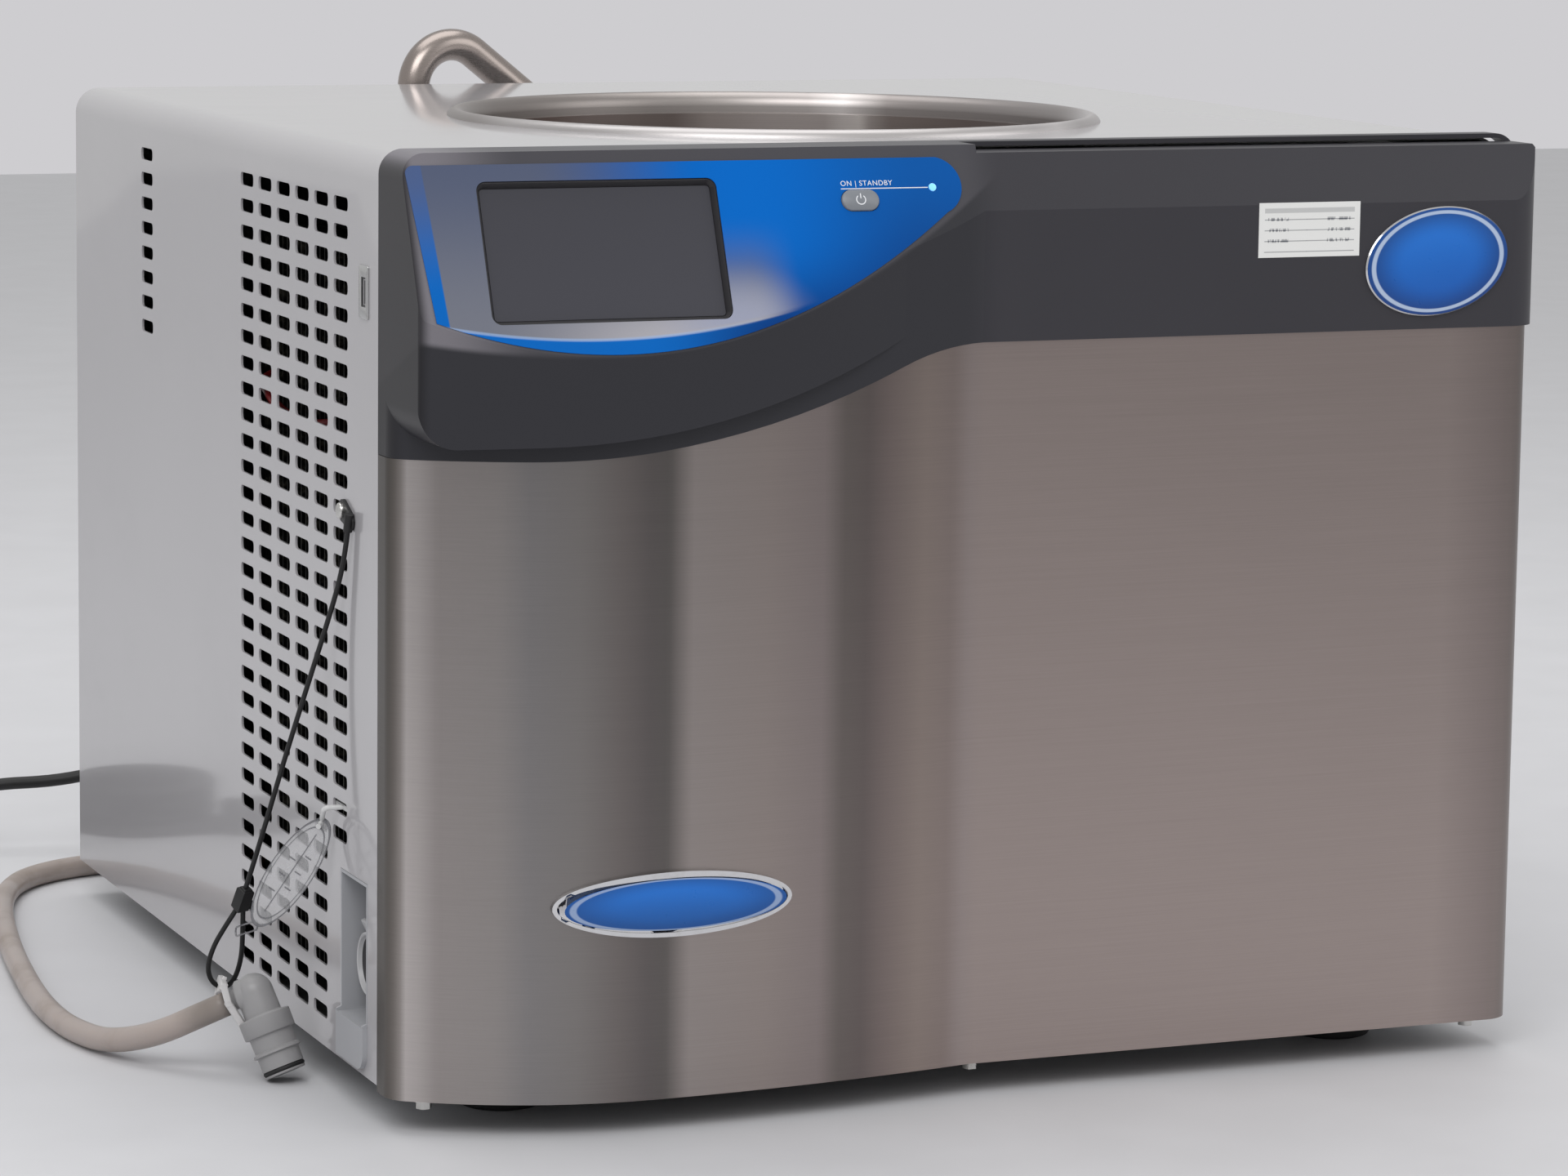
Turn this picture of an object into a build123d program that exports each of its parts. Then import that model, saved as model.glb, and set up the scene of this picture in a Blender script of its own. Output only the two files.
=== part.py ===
from build123d import *
import math
import os

# Benchtop freeze dryer. Millimetres, +Z up, the operator's side faces -Y.
# The origin is under the middle of the machine, on the bench.
# The front is laid out from the shell's front lower left corner: u to the right, v to the back, h up.

# ---- Driving dimensions -------------------------------------------------------------------------
shell_w = 610.0
shell_d = 574.0
shell_h = 455.0
shell_t = 1.2
shell_edge_r = 14.0
foot_h = 20.0
foot_r = 25.0
seat_gap = 0.3
cut_past = 20.0
behind_d = 100.0
screw_fit = 0.25

# Front panel, one folded sheet of stainless steel with a bulged left half
panel_t = 1.5
panel_drop = 3.0
flat_reach = 43.0
bulge_rise = 16.5
bulge_apex_u = 122.0
bulge_left_r = 200.0
crease_u = 297.0
panel_left_r = 15.0
panel_right_r = 16.0
panel_top_h = 366.0
panel_lip = 16.0

# Moulded control bezel
bezel_wall = 2.3
bezel_top_h = 457.5
bezel_low_left_h = 311.0
bezel_low_right_h = 361.0
bezel_sweep_start_u = 60.0
bezel_sweep_r = 480.0
bezel_return_r = 118.0
bezel_corner_r = 12.0
ledge_h = 453.5
ledge_rim_d = 12.0
pad_reach = 72.0
pad_apex_u = 100.0
pad_plan_r = 620.0
pad_crease_h = 362.0
pad_low_h = 320.0
pad_low_u = 60.0
pad_low_r = 430.0
pad_corner_r = 18.0
pad_edge_r = 3.5
face_tilt = 22.5

# Control face, measured up the tilted face from the crease at the pad's apex
overlay_t = 0.5
overlay_top = 97.0
overlay_left_u = 4.5
overlay_foot_u = 8.0
window_w = 122.0
window_h = 71.0
window_u = 96.5
window_up = 53.0
window_r = 5.0
glass_w = 117.0
glass_h = 65.5
glass_t = 1.1
glass_sink = 3.2
module_t = 7.0
button_w = 19.5
button_h = 10.6
button_u = 231.3
button_up = 75.5
button_proud = 1.2
button_travel = 1.2
button_fit = 0.3
led_r = 2.0
led_u = 270.7
led_up = 81.7

# Badges and labels
badge_w = 82.0
badge_h = 55.0
badge_u = 549.0
badge_z = 395.5
badge_turn = 8.0
badge_t = 1.6
label_w = 57.0
label_h = 27.5
label_u = 476.0
label_z = 413.0
label_t = 0.3
plate_w = 123.0
plate_h = 32.0
plate_u = 132.0
plate_z = 94.0
plate_t = 3.0
plate_rim = 2.2

# Side vents
slot_l = 21.0
slot_h = 6.4
slot_pitch_v = 32.45
slot_pitch_h = 13.637
slot_columns = 5
slot_rows = 31
slot_first_v = 222.5
slot_first_h = 427.0
short_column_rows = 24
rear_slot_v = 418.4
rear_slot_rows = 8

# Chamber
chamber_u = 298.0
chamber_v = 234.0
collar_bore_r = 165.0
collar_flange_r = 176.0
collar_t = 1.5
collar_lip_h = 4.0
collar_lip_t = 4.5
collar_spigot = 20.0
pot_step = 2.0
pot_t = 1.5
pot_depth = 232.0
pot_corner_r = 18.0
coil_bar = 6.0
coil_turns = 3
coil_pitch = 56.0
coil_low = 45.0
insulation_t = 27.0
stand_t = 2.0

# Vacuum tube
tube_r = 9.525
tube_wall = 1.65
tube_bend_r = 25.4
tube_u = 216.5
tube_h = 396.0
tube_standoff = 8.0
tube_arch_h = 451.0
tube_drop_angle = 37.0
tube_turn = 10.0
tube_tail = 55.0
gland_r = 20.0
gland_t = 6.0
tube_fit = 0.15

# Drain recess in the left side
recess_v = 15.0
recess_w = 44.0
recess_h = 23.0
recess_rise = 74.0
recess_d = 58.0
recess_t = 1.6
lip_proud = 2.6
lip_h = 3.0
coupling_r = 15.0
coupling_bore_r = 9.8
coupling_l = 34.0
coupling_h = 52.0
latch_travel = 3.0
latch_w = 14.0
latch_t = 3.0

# USB outlet
usb_v = 14.2
usb_w = 14.3
usb_h = 374.0
usb_rise = 26.0
usb_t = 0.8
usb_port_w = 7.0
usb_port_h = 14.5

# Condenser, fan and shroud
condenser_t = 34.0
condenser_w = 172.0
condenser_h = 372.0
condenser_fins = 22
condenser_fin_t = 1.6
shroud_t = 2.0
fan_r = 78.0
fan_blades = 5
fan_hub_r = 24.0
fan_depth = 20.0
fan_up = 205.0
motor_r = 30.0
motor_l = 26.0
shaft_r = 3.0
shaft_fit = 0.05

# Compressors and other plant
can_r = (72.0, 66.0)
can_h = (172.0, 158.0)
can_foot_h = 10.0
can_round = 26.0
exchanger_w = 78.0
exchanger_d = 50.0
exchanger_h = 120.0
drier_r = 14.0
drier_l = 120.0
psu_w = 88.0
psu_d = 190.0
psu_h = 96.0
pan_t = 1.5
pan_flange = 14.0
line_r = 5.0
drain_line_r = 6.0

# Rear inlet and breaker
inlet_u = 72.0
inlet_h = 42.0
inlet_w = 50.0
inlet_rise = 28.0
inlet_d = 22.0
breaker_u = 140.0
breaker_w = 20.0
breaker_rise = 30.0
breaker_d = 24.0
rocker_swing = 24.0

# Cords
hose_r = 6.35
lanyard_r = 1.3
cord_r = 3.75

# ---- Placement ----------------------------------------------------------------------------------
tube_drop = math.radians(tube_drop_angle)
tube_swing = math.radians(tube_turn)
tube_tail_run = tube_bend_r * (1 + math.sin(tube_drop)) + tube_tail * math.cos(tube_drop)
tube_end_r = tube_r * math.sqrt(1 - (math.cos(tube_drop) * math.sin(tube_swing)) ** 2)
tube_reach = tube_standoff + tube_bend_r + tube_tail_run * math.sin(tube_swing) + tube_end_r
x_left = -shell_w / 2
y_front = (pad_reach - shell_d - tube_reach) / 2
y_rear = y_front + shell_d
z_low = foot_h
z_top = foot_h + shell_h
band_over = bezel_wall + seat_gap
band_reach = flat_reach + band_over


def at(u, v, h):
    """Model point of a place given from the shell's front lower left corner."""
    return (x_left + u, y_front + v, z_low + h)


def circle_front(u, centre_u, front_v, radius):
    """Depth of a plan circle whose foremost point is at centre_u, front_v."""
    return front_v + radius - math.sqrt(radius**2 - (u - centre_u) ** 2)


os.makedirs("parts", exist_ok=True)

# ---- Cabinet shell: top and both sides folded from one sheet ------------------------------------
left_face = Plane(origin=(x_left, 0, 0), x_dir=(0, -1, 0), z_dir=(-1, 0, 0))
recess_mid_v = recess_v + recess_w / 2
recess_mid_h = recess_h + recess_rise / 2
usb_mid_v = usb_v + usb_w / 2
usb_mid_h = usb_h + usb_rise / 2
clip_v = 52.7
clip_h = 276.6
clip_screw_r = 2.0


def on_left(v, h):
    """Sketch point on the left face."""
    return (-(y_front + v), z_low + h)


with BuildPart() as cabinet_shell:
    with BuildSketch(Plane.XZ.offset(-y_rear)) as outer_section:
        with Locations((0, z_low + shell_h / 2)):
            Rectangle(shell_w, shell_h)
        fillet(outer_section.vertices().group_by(Axis.Y)[-1], shell_edge_r)
    extrude(amount=shell_d)
    inner_h = shell_h - shell_t
    with BuildSketch(Plane.XZ.offset(-y_rear)) as inner_section:
        with Locations((0, z_low + inner_h / 2)):
            Rectangle(shell_w - 2 * shell_t, inner_h)
        fillet(inner_section.vertices().group_by(Axis.Y)[-1], shell_edge_r - shell_t)
    extrude(amount=shell_d, mode=Mode.SUBTRACT)
    with BuildSketch(left_face):
        block_v = slot_first_v - slot_pitch_v * (slot_columns - 1) / 2
        block_h = slot_first_h - slot_pitch_h * (slot_rows - 1) / 2
        with Locations(on_left(block_v, block_h)):
            with GridLocations(slot_pitch_v, slot_pitch_h, slot_columns, slot_rows):
                Rectangle(slot_l, slot_h)
        short_v = slot_first_v - slot_pitch_v * slot_columns
        short_h = slot_first_h - slot_pitch_h * (short_column_rows - 1) / 2
        with Locations(on_left(short_v, short_h)):
            with GridLocations(1, slot_pitch_h, 1, short_column_rows):
                Rectangle(slot_l, slot_h)
        rear_h = slot_first_h - slot_pitch_h * (rear_slot_rows - 1)
        with Locations(on_left(rear_slot_v, rear_h)):
            with GridLocations(1, 2 * slot_pitch_h, 1, rear_slot_rows):
                Rectangle(slot_l, slot_h)
        with Locations(on_left(recess_mid_v, recess_mid_h)):
            Rectangle(recess_w, recess_rise)
        with Locations(on_left(usb_mid_v, usb_mid_h)):
            Rectangle(usb_port_w + 2 * seat_gap, usb_port_h + 2 * seat_gap)
        with Locations(on_left(clip_v, clip_h)):
            Circle(clip_screw_r + screw_fit)
    extrude(amount=-2 * shell_t, mode=Mode.SUBTRACT)
    with BuildSketch(Plane.XY.offset(z_top)):
        with Locations(at(chamber_u, chamber_v, 0)[:2]):
            Circle(collar_bore_r + pot_t + pot_step + seat_gap)
    extrude(amount=-2 * shell_t, mode=Mode.SUBTRACT)
cabinet_shell.part.label = "cabinet_shell"
export_step(cabinet_shell.part, "parts/cabinet_shell.step")

# ---- Front panel --------------------------------------------------------------------------------
bulge_right_r = ((crease_u - bulge_apex_u) ** 2 + bulge_rise**2) / (2 * bulge_rise)


def wrap_plan(over, left_r, right_r, side_over):
    """Plan of the bulged front, standing over the steel by the given amount, with a tail behind."""
    front_v = -(flat_reach + bulge_rise + over)
    near_r = bulge_left_r + over
    far_r = bulge_right_r + over
    run = math.sqrt(2 * far_r * bulge_rise - bulge_rise**2)
    tail = 20.0
    right = shell_w + side_over
    left_start = circle_front(0, bulge_apex_u, front_v, near_r)
    left_mid = circle_front(bulge_apex_u / 2, bulge_apex_u, front_v, near_r)
    far_mid = circle_front(bulge_apex_u + run / 2, bulge_apex_u, front_v, far_r)
    crease = bulge_apex_u + run
    flat_v = front_v + bulge_rise
    with BuildSketch() as plan:
        with BuildLine():
            Line(at(0, tail, 0)[:2], at(0, left_start, 0)[:2])
            ThreePointArc(
                at(0, left_start, 0)[:2],
                at(bulge_apex_u / 2, left_mid, 0)[:2],
                at(bulge_apex_u, front_v, 0)[:2],
            )
            ThreePointArc(
                at(bulge_apex_u, front_v, 0)[:2],
                at(bulge_apex_u + run / 2, far_mid, 0)[:2],
                at(crease, flat_v, 0)[:2],
            )
            Polyline(
                at(crease, flat_v, 0)[:2],
                at(right, flat_v, 0)[:2],
                at(right, tail, 0)[:2],
                at(0, tail, 0)[:2],
            )
        make_face()
        corner = plan.vertices().sort_by_distance(at(0, left_start, 0)[:2] + (0,))[0]
        fillet(corner, left_r)
        corner = plan.vertices().sort_by_distance(at(right, flat_v, 0)[:2] + (0,))[0]
        fillet(corner, right_r)
    return plan.sketch


panel_screw_in = 17.0
panel_screw_places = [(panel_screw_in, -22.0), (crease_u + 5, -34.0), (shell_w - panel_screw_in - 6, -32.0)]
panel_screw_r = 2.0
steel_plan = wrap_plan(0, panel_left_r, panel_right_r, 0)
with BuildPart() as front_panel:
    with BuildSketch(Plane.XY.offset(z_low - panel_drop)):
        add(steel_plan)
        offset(steel_plan, amount=-panel_t, kind=Kind.INTERSECTION, mode=Mode.SUBTRACT)
    extrude(amount=panel_drop + panel_top_h)
    with BuildSketch(Plane.XY.offset(z_low - panel_drop)):
        add(steel_plan)
        offset(steel_plan, amount=-panel_lip, kind=Kind.INTERSECTION, mode=Mode.SUBTRACT)
    extrude(amount=panel_t)
    with BuildSketch(Plane.XY.offset(z_low - panel_drop)):
        with Locations(*[at(u, v, 0)[:2] for u, v in panel_screw_places]):
            Circle(panel_screw_r + screw_fit)
    extrude(amount=panel_t, mode=Mode.SUBTRACT)
    # Everything behind the shell's front edge goes, and the corner that the bezel's cheek stands on.
    with Locations(at(shell_w / 2, behind_d / 2 - seat_gap, shell_h / 2)):
        Box(shell_w + cut_past, behind_d, shell_h + 2 * cut_past, mode=Mode.SUBTRACT)
    cheek_w = 12.0
    cheek_cut_h = panel_top_h - bezel_low_left_h + cut_past
    with Locations(at(cheek_w / 2, -flat_reach / 2, bezel_low_left_h - seat_gap + cheek_cut_h / 2)):
        Box(cheek_w, flat_reach, cheek_cut_h, mode=Mode.SUBTRACT)
front_panel.part.label = "front_panel"
export_step(front_panel.part, "parts/front_panel.step")

# ---- Control bezel ------------------------------------------------------------------------------
sweep_turn = math.acos(1 - (bezel_low_right_h - bezel_low_left_h) / (bezel_sweep_r + bezel_return_r))
sweep_end_u = bezel_sweep_start_u + bezel_sweep_r * math.sin(sweep_turn)
sweep_end_h = bezel_low_left_h + bezel_sweep_r * (1 - math.cos(sweep_turn))
return_end_u = sweep_end_u + bezel_return_r * math.sin(sweep_turn)
bezel_right_u = shell_w + band_over
face_origin = at(0, -pad_reach, pad_crease_h)
tilt = math.radians(face_tilt)
face_plane = Plane(origin=face_origin, x_dir=(1, 0, 0), z_dir=(0, -math.cos(tilt), math.sin(tilt)))


def on_front(u, h):
    """Sketch point on a plane parallel to the front."""
    return (x_left + u, z_low + h)


def bezel_form(inset):
    """Outer form of the bezel at inset 0, or the hollow behind its wall at a larger inset."""
    hollow = inset > 0
    depth = pad_reach + 40
    back_plane = Plane.XZ.offset(-(y_front + 20))
    with BuildPart() as band:
        with BuildSketch(Plane.XY.offset(z_low + bezel_low_left_h - 20)):
            plan = wrap_plan(band_over, panel_left_r + band_over, panel_right_r + band_over, band_over)
            if hollow:
                offset(plan, amount=-inset, kind=Kind.INTERSECTION)
            else:
                add(plan)
        extrude(amount=bezel_top_h - bezel_low_left_h + 20 - inset)
        if not hollow:
            low_mid = sweep_turn / 2
            with BuildSketch(back_plane):
                with BuildLine():
                    Line(on_front(0, bezel_top_h), on_front(0, bezel_low_left_h))
                    Line(on_front(0, bezel_low_left_h), on_front(bezel_sweep_start_u, bezel_low_left_h))
                    ThreePointArc(
                        on_front(bezel_sweep_start_u, bezel_low_left_h),
                        on_front(
                            bezel_sweep_start_u + bezel_sweep_r * math.sin(low_mid),
                            bezel_low_left_h + bezel_sweep_r * (1 - math.cos(low_mid)),
                        ),
                        on_front(sweep_end_u, sweep_end_h),
                    )
                    ThreePointArc(
                        on_front(sweep_end_u, sweep_end_h),
                        on_front(
                            return_end_u - bezel_return_r * math.sin(low_mid),
                            bezel_low_right_h - bezel_return_r * (1 - math.cos(low_mid)),
                        ),
                        on_front(return_end_u, bezel_low_right_h),
                    )
                    Polyline(
                        on_front(return_end_u, bezel_low_right_h),
                        on_front(bezel_right_u, bezel_low_right_h),
                        on_front(bezel_right_u, bezel_top_h),
                        on_front(0, bezel_top_h),
                    )
                make_face()
            extrude(amount=depth, mode=Mode.INTERSECT)
    pad_wall_v = circle_front(0, pad_apex_u, -pad_reach, pad_plan_r)
    pad_end_run = math.sqrt(2 * pad_plan_r * (pad_reach - band_reach) - (pad_reach - band_reach) ** 2)
    pad_end_u = pad_apex_u + pad_end_run
    with BuildPart() as pad:
        with BuildSketch(Plane.XY.offset(z_low + bezel_low_left_h)) as pad_sketch:
            with BuildLine():
                Line(at(0, cut_past, 0)[:2], at(0, pad_wall_v, 0)[:2])
                ThreePointArc(
                    at(0, pad_wall_v, 0)[:2],
                    at(pad_apex_u, -pad_reach, 0)[:2],
                    at(pad_end_u, -band_reach, 0)[:2],
                )
                Polyline(
                    at(pad_end_u, -band_reach, 0)[:2],
                    at(crease_u, -band_reach, 0)[:2],
                    at(crease_u, cut_past, 0)[:2],
                    at(0, cut_past, 0)[:2],
                )
            make_face()
            fillet(pad_sketch.vertices().sort_by_distance(at(0, pad_wall_v, 0)[:2] + (0,))[0], pad_edge_r)
            if hollow:
                offset(amount=-inset, kind=Kind.INTERSECTION, mode=Mode.REPLACE)
        extrude(amount=bezel_top_h - bezel_low_left_h - inset)
        pad_low_mid_u = (pad_low_u + crease_u) / 2
        with BuildSketch(back_plane) as pad_front:
            with BuildLine():
                Line(on_front(0, bezel_top_h), on_front(0, pad_low_h))
                Line(on_front(0, pad_low_h), on_front(pad_low_u, pad_low_h))
                ThreePointArc(
                    on_front(pad_low_u, pad_low_h),
                    on_front(
                        pad_low_mid_u,
                        circle_front(pad_low_mid_u, pad_low_u, pad_low_h, pad_low_r),
                    ),
                    on_front(crease_u, circle_front(crease_u, pad_low_u, pad_low_h, pad_low_r)),
                )
                Line(
                    on_front(crease_u, circle_front(crease_u, pad_low_u, pad_low_h, pad_low_r)),
                    on_front(crease_u, bezel_top_h),
                )
                Line(on_front(crease_u, bezel_top_h), on_front(0, bezel_top_h))
            make_face()
            corner = pad_front.vertices().sort_by_distance(on_front(0, pad_low_h) + (0,))[0]
            fillet(corner, pad_corner_r)
            if hollow:
                offset(amount=-inset, kind=Kind.INTERSECTION, mode=Mode.REPLACE)
        extrude(amount=depth, mode=Mode.INTERSECT)
    with BuildPart() as form:
        add(band.part)
        add(pad.part)
        split(bisect_by=face_plane.offset(-inset), keep=Keep.BOTTOM)
        # The top corners follow the cabinet's rounded edges.
        with BuildSketch(back_plane) as outline:
            trim_h = bezel_top_h - bezel_low_left_h + 3 * cut_past
            with Locations(on_front(bezel_right_u / 2, bezel_top_h - trim_h / 2)):
                Rectangle(bezel_right_u - 2 * inset, trim_h - 2 * inset)
            fillet(outline.vertices().group_by(Axis.Y)[-1], bezel_corner_r - inset)
            if hollow:
                with Locations(on_front(bezel_right_u / 2, bezel_top_h - trim_h)):
                    Rectangle(bezel_right_u - 2 * inset, trim_h / 2)
        extrude(amount=depth, mode=Mode.INTERSECT)
        step_d = pad_reach
        step_mid_u = (crease_u + bezel_right_u + cut_past) / 2
        with Locations(at(step_mid_u, -ledge_rim_d - step_d / 2, ledge_h - inset + cut_past / 2)):
            Box(bezel_right_u - crease_u + cut_past, step_d, cut_past, mode=Mode.SUBTRACT)
    return form.part


bezel_outer = bezel_form(0)
bezel_hollow = bezel_form(bezel_wall)
with BuildPart() as control_bezel:
    add(bezel_outer)
    add(bezel_hollow, mode=Mode.SUBTRACT)
    with Locations(at(shell_w / 2, behind_d / 2, shell_h / 2)):
        Box(shell_w + 2 * cut_past, behind_d, shell_h + 2 * cut_past, mode=Mode.SUBTRACT)
    with BuildSketch(face_plane):
        with Locations((window_u, window_up)):
            RectangleRounded(window_w, window_h, window_r)
        with Locations((button_u, button_up)):
            SlotOverall(button_w + 2 * button_fit, button_h + 2 * button_fit)
        with Locations((led_u, led_up)):
            Circle(led_r + seat_gap)
    extrude(amount=-3 * bezel_wall, mode=Mode.SUBTRACT)
control_bezel.part.label = "control_bezel"
export_step(control_bezel.part, "parts/control_bezel.step")

# ---- Helpers for the plainer pieces -------------------------------------------------------------
base_up = (Align.CENTER, Align.CENTER, Align.MIN)


def block(u_span, v_span, h_span, mode=Mode.ADD):
    """Box between two values each way, measured from the shell's front lower left corner."""
    centre = [(span[0] + span[1]) / 2 for span in (u_span, v_span, h_span)]
    with Locations(at(*centre)):
        Box(u_span[1] - u_span[0], v_span[1] - v_span[0], h_span[1] - h_span[0], mode=mode)


def rod(plane, radius, start, length, mode=Mode.ADD):
    """Cylinder on the normal of a plane, from start to start + length."""
    with Locations(plane.offset(start).location):
        Cylinder(radius, length, align=base_up, mode=mode)


def upright(u, v, h):
    """Level plane at a place."""
    return Plane(origin=at(u, v, h))


def leftward(u, v, h):
    """Plane at a place that faces the left side."""
    return Plane(origin=at(u, v, h), x_dir=(0, -1, 0), z_dir=(-1, 0, 0))


def rearward(u, v, h):
    """Plane at a place that faces the rear."""
    return Plane(origin=at(u, v, h), x_dir=(-1, 0, 0), z_dir=(0, 1, 0))


def bend_radii(points):
    """Radius for each corner of a route, as large as its shorter run allows."""
    places = [Vector(*point) for point in points]
    radii = []
    for before, corner, after in zip(places, places[1:], places[2:]):
        half_turn = math.radians((corner - before).get_angle(after - corner) / 2)
        radii.append(0.45 * min((corner - before).length, (after - corner).length) / math.tan(half_turn))
    return radii


def tube_along(points, radii, radius, bore=0.0):
    """Round tube on straight runs joined by tangent arcs."""
    with BuildPart() as tube:
        with BuildLine() as route:
            FilletPolyline(*points, radius=radii)
        start = Vector(*points[0])
        with BuildSketch(Plane(origin=start, z_dir=Vector(*points[1]) - start)):
            Circle(radius)
            if bore > 0:
                Circle(bore, mode=Mode.SUBTRACT)
        sweep(path=route.wires()[0])
    length = route.wires()[0].length
    section = math.pi * (radius**2 - bore**2)
    print("route %.0f mm, volume %.3f of section x length" % (length, tube.part.volume / (section * length)))
    return tube.part


# ---- Rear panel ---------------------------------------------------------------------------------
rear_sheet = shell_t
rear_face_v = shell_d - 1.8
inner_left_u = shell_t + seat_gap
inner_right_u = shell_w - shell_t - seat_gap
gland_neck_r = 14.0
exhaust_w = 60.0
exhaust_h = 5.0
exhaust_pitch_u = 75.0
exhaust_pitch_h = 14.0
exhaust_u = 400.0
exhaust_mid_h = 330.0
panel_back = rearward(0, rear_face_v, 0)


def on_rear(u, h):
    """Sketch point on a plane that faces the rear."""
    return (-u, h)


with BuildPart() as rear_panel:
    with BuildSketch(panel_back):
        with BuildLine():
            Polyline(
                on_rear(inner_left_u, 0),
                on_rear(inner_left_u, shell_h - shell_t - seat_gap),
                on_rear(inner_right_u, shell_h - shell_t - seat_gap),
                on_rear(inner_right_u, 0),
                on_rear(inner_left_u, 0),
            )
        rear_outline = make_face()
        fillet(rear_outline.vertices().group_by(Axis.Z)[-1], shell_edge_r - shell_t)
        with Locations(on_rear(tube_u, tube_h)):
            Circle(gland_neck_r, mode=Mode.SUBTRACT)
        with Locations(on_rear(inlet_u, inlet_h)):
            Rectangle(inlet_w + 2 * seat_gap, inlet_rise + 2 * seat_gap, mode=Mode.SUBTRACT)
        with Locations(on_rear(breaker_u, inlet_h)):
            Rectangle(breaker_w + 2 * seat_gap, breaker_rise + 2 * seat_gap, mode=Mode.SUBTRACT)
        with Locations(on_rear(exhaust_u, exhaust_mid_h)):
            with GridLocations(exhaust_pitch_u, exhaust_pitch_h, 4, 8):
                SlotOverall(exhaust_w, exhaust_h, mode=Mode.SUBTRACT)
    extrude(amount=-rear_sheet)
rear_panel.part.label = "rear_panel"
export_step(rear_panel.part, "parts/rear_panel.step")

# ---- Base pan with the tongues that the front panel is screwed to --------------------------------
pan_back_v = rear_face_v - rear_sheet - seat_gap
pan_floor_h = pan_t
tongue_w = 12.0
tongue_end_r = 5.0
tongue_drop = panel_drop - panel_t - seat_gap
foot_places = {
    "front_left": (72.5, foot_r),
    "front_right": (shell_w - 72.5, foot_r),
    "rear_left": (72.5, shell_d - 2 * foot_r),
    "rear_right": (shell_w - 72.5, shell_d - 2 * foot_r),
}
with BuildPart() as base_pan:
    block((inner_left_u, inner_right_u), (0, pan_back_v), (0, pan_flange))
    block(
        (inner_left_u + pan_t, inner_right_u - pan_t),
        (pan_t, pan_back_v - pan_t),
        (pan_t, pan_flange + 1),
        mode=Mode.SUBTRACT,
    )
    for screw_u, screw_v in panel_screw_places:
        block((screw_u - tongue_w / 2, screw_u + tongue_w / 2), (screw_v, pan_t), (-tongue_drop, pan_t))
        rod(upright(screw_u, screw_v, -tongue_drop), tongue_end_r, 0, tongue_drop + pan_t)
        tongue_bore = upright(screw_u, screw_v, -2 * panel_drop)
        rod(tongue_bore, panel_screw_r + screw_fit, 0, 4 * panel_drop, Mode.SUBTRACT)
base_pan.part.label = "base_pan"
export_step(base_pan.part, "parts/base_pan.step")

hex_across = 7.0
hex_head = 3.6
hex_washer_r = 5.4
hex_washer_t = 0.9
panel_screw_l = 9.0
with BuildPart() as panel_screws:
    for screw_u, screw_v in panel_screw_places:
        seat = upright(screw_u, screw_v, -panel_drop)
        rod(seat, panel_screw_r, -hex_washer_t, panel_screw_l)
        rod(seat, hex_washer_r, -hex_washer_t, hex_washer_t)
        with BuildSketch(seat.offset(-hex_washer_t)):
            RegularPolygon(hex_across / 2, 6, major_radius=False)
        extrude(amount=-hex_head)
panel_screws.part.label = "panel_screws"
export_step(panel_screws.part, "parts/panel_screws.step")

foot_taper_r = 21.0
foot_hole_r = 7.0
for foot_name, (foot_u, foot_v) in foot_places.items():
    with BuildPart() as foot:
        with Locations(at(foot_u, foot_v, -foot_h)):
            Cone(foot_taper_r, foot_r, foot_h, align=base_up)
        rod(upright(foot_u, foot_v, -foot_h), foot_hole_r, 0, foot_h / 2, Mode.SUBTRACT)
        fillet(foot.edges().group_by(Axis.Z)[0].sort_by(SortBy.LENGTH)[-1], 2.0)
    foot.part.label = "foot_" + foot_name
    export_step(foot.part, "parts/foot_" + foot_name + ".step")

# ---- Control face -------------------------------------------------------------------------------
overlay_margin = 1.3
overlay_foot_end_u = 277.0
overlay_tip_u = 286.0
overlay_tip_up = 84.0
overlay_shoulder_u = 274.0


def crease_up(u):
    """Height up the tilted face at which the pad's upright wall starts."""
    return (circle_front(u, pad_apex_u, -pad_reach, pad_plan_r) + pad_reach) / math.sin(tilt)


foot_stations = [overlay_foot_u + (overlay_foot_end_u - overlay_foot_u) * step / 6 for step in range(7)]
overlay_edge = [(u, crease_up(u) + overlay_margin) for u in foot_stations]
with BuildPart() as overlay:
    with BuildSketch(face_plane) as overlay_sketch:
        with BuildLine():
            Spline(*overlay_edge)
            ThreePointArc(
                overlay_edge[-1], (overlay_tip_u, overlay_tip_up), (overlay_shoulder_u, overlay_top)
            )
            Polyline((overlay_shoulder_u, overlay_top), (overlay_left_u - 3.5, overlay_top), overlay_edge[0])
        make_face()
        fillet(overlay_sketch.vertices().sort_by_distance((overlay_left_u - 3.5, overlay_top, 0))[0], 4.0)
        with Locations((window_u, window_up)):
            RectangleRounded(window_w, window_h, window_r, mode=Mode.SUBTRACT)
        with Locations((button_u, button_up)):
            SlotOverall(button_w + 2 * button_fit, button_h + 2 * button_fit, mode=Mode.SUBTRACT)
        with Locations((led_u, led_up)):
            Circle(led_r + seat_gap, mode=Mode.SUBTRACT)
    extrude(amount=overlay_t)
overlay.part.label = "overlay"
export_step(overlay.part, "parts/overlay.step")

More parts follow.
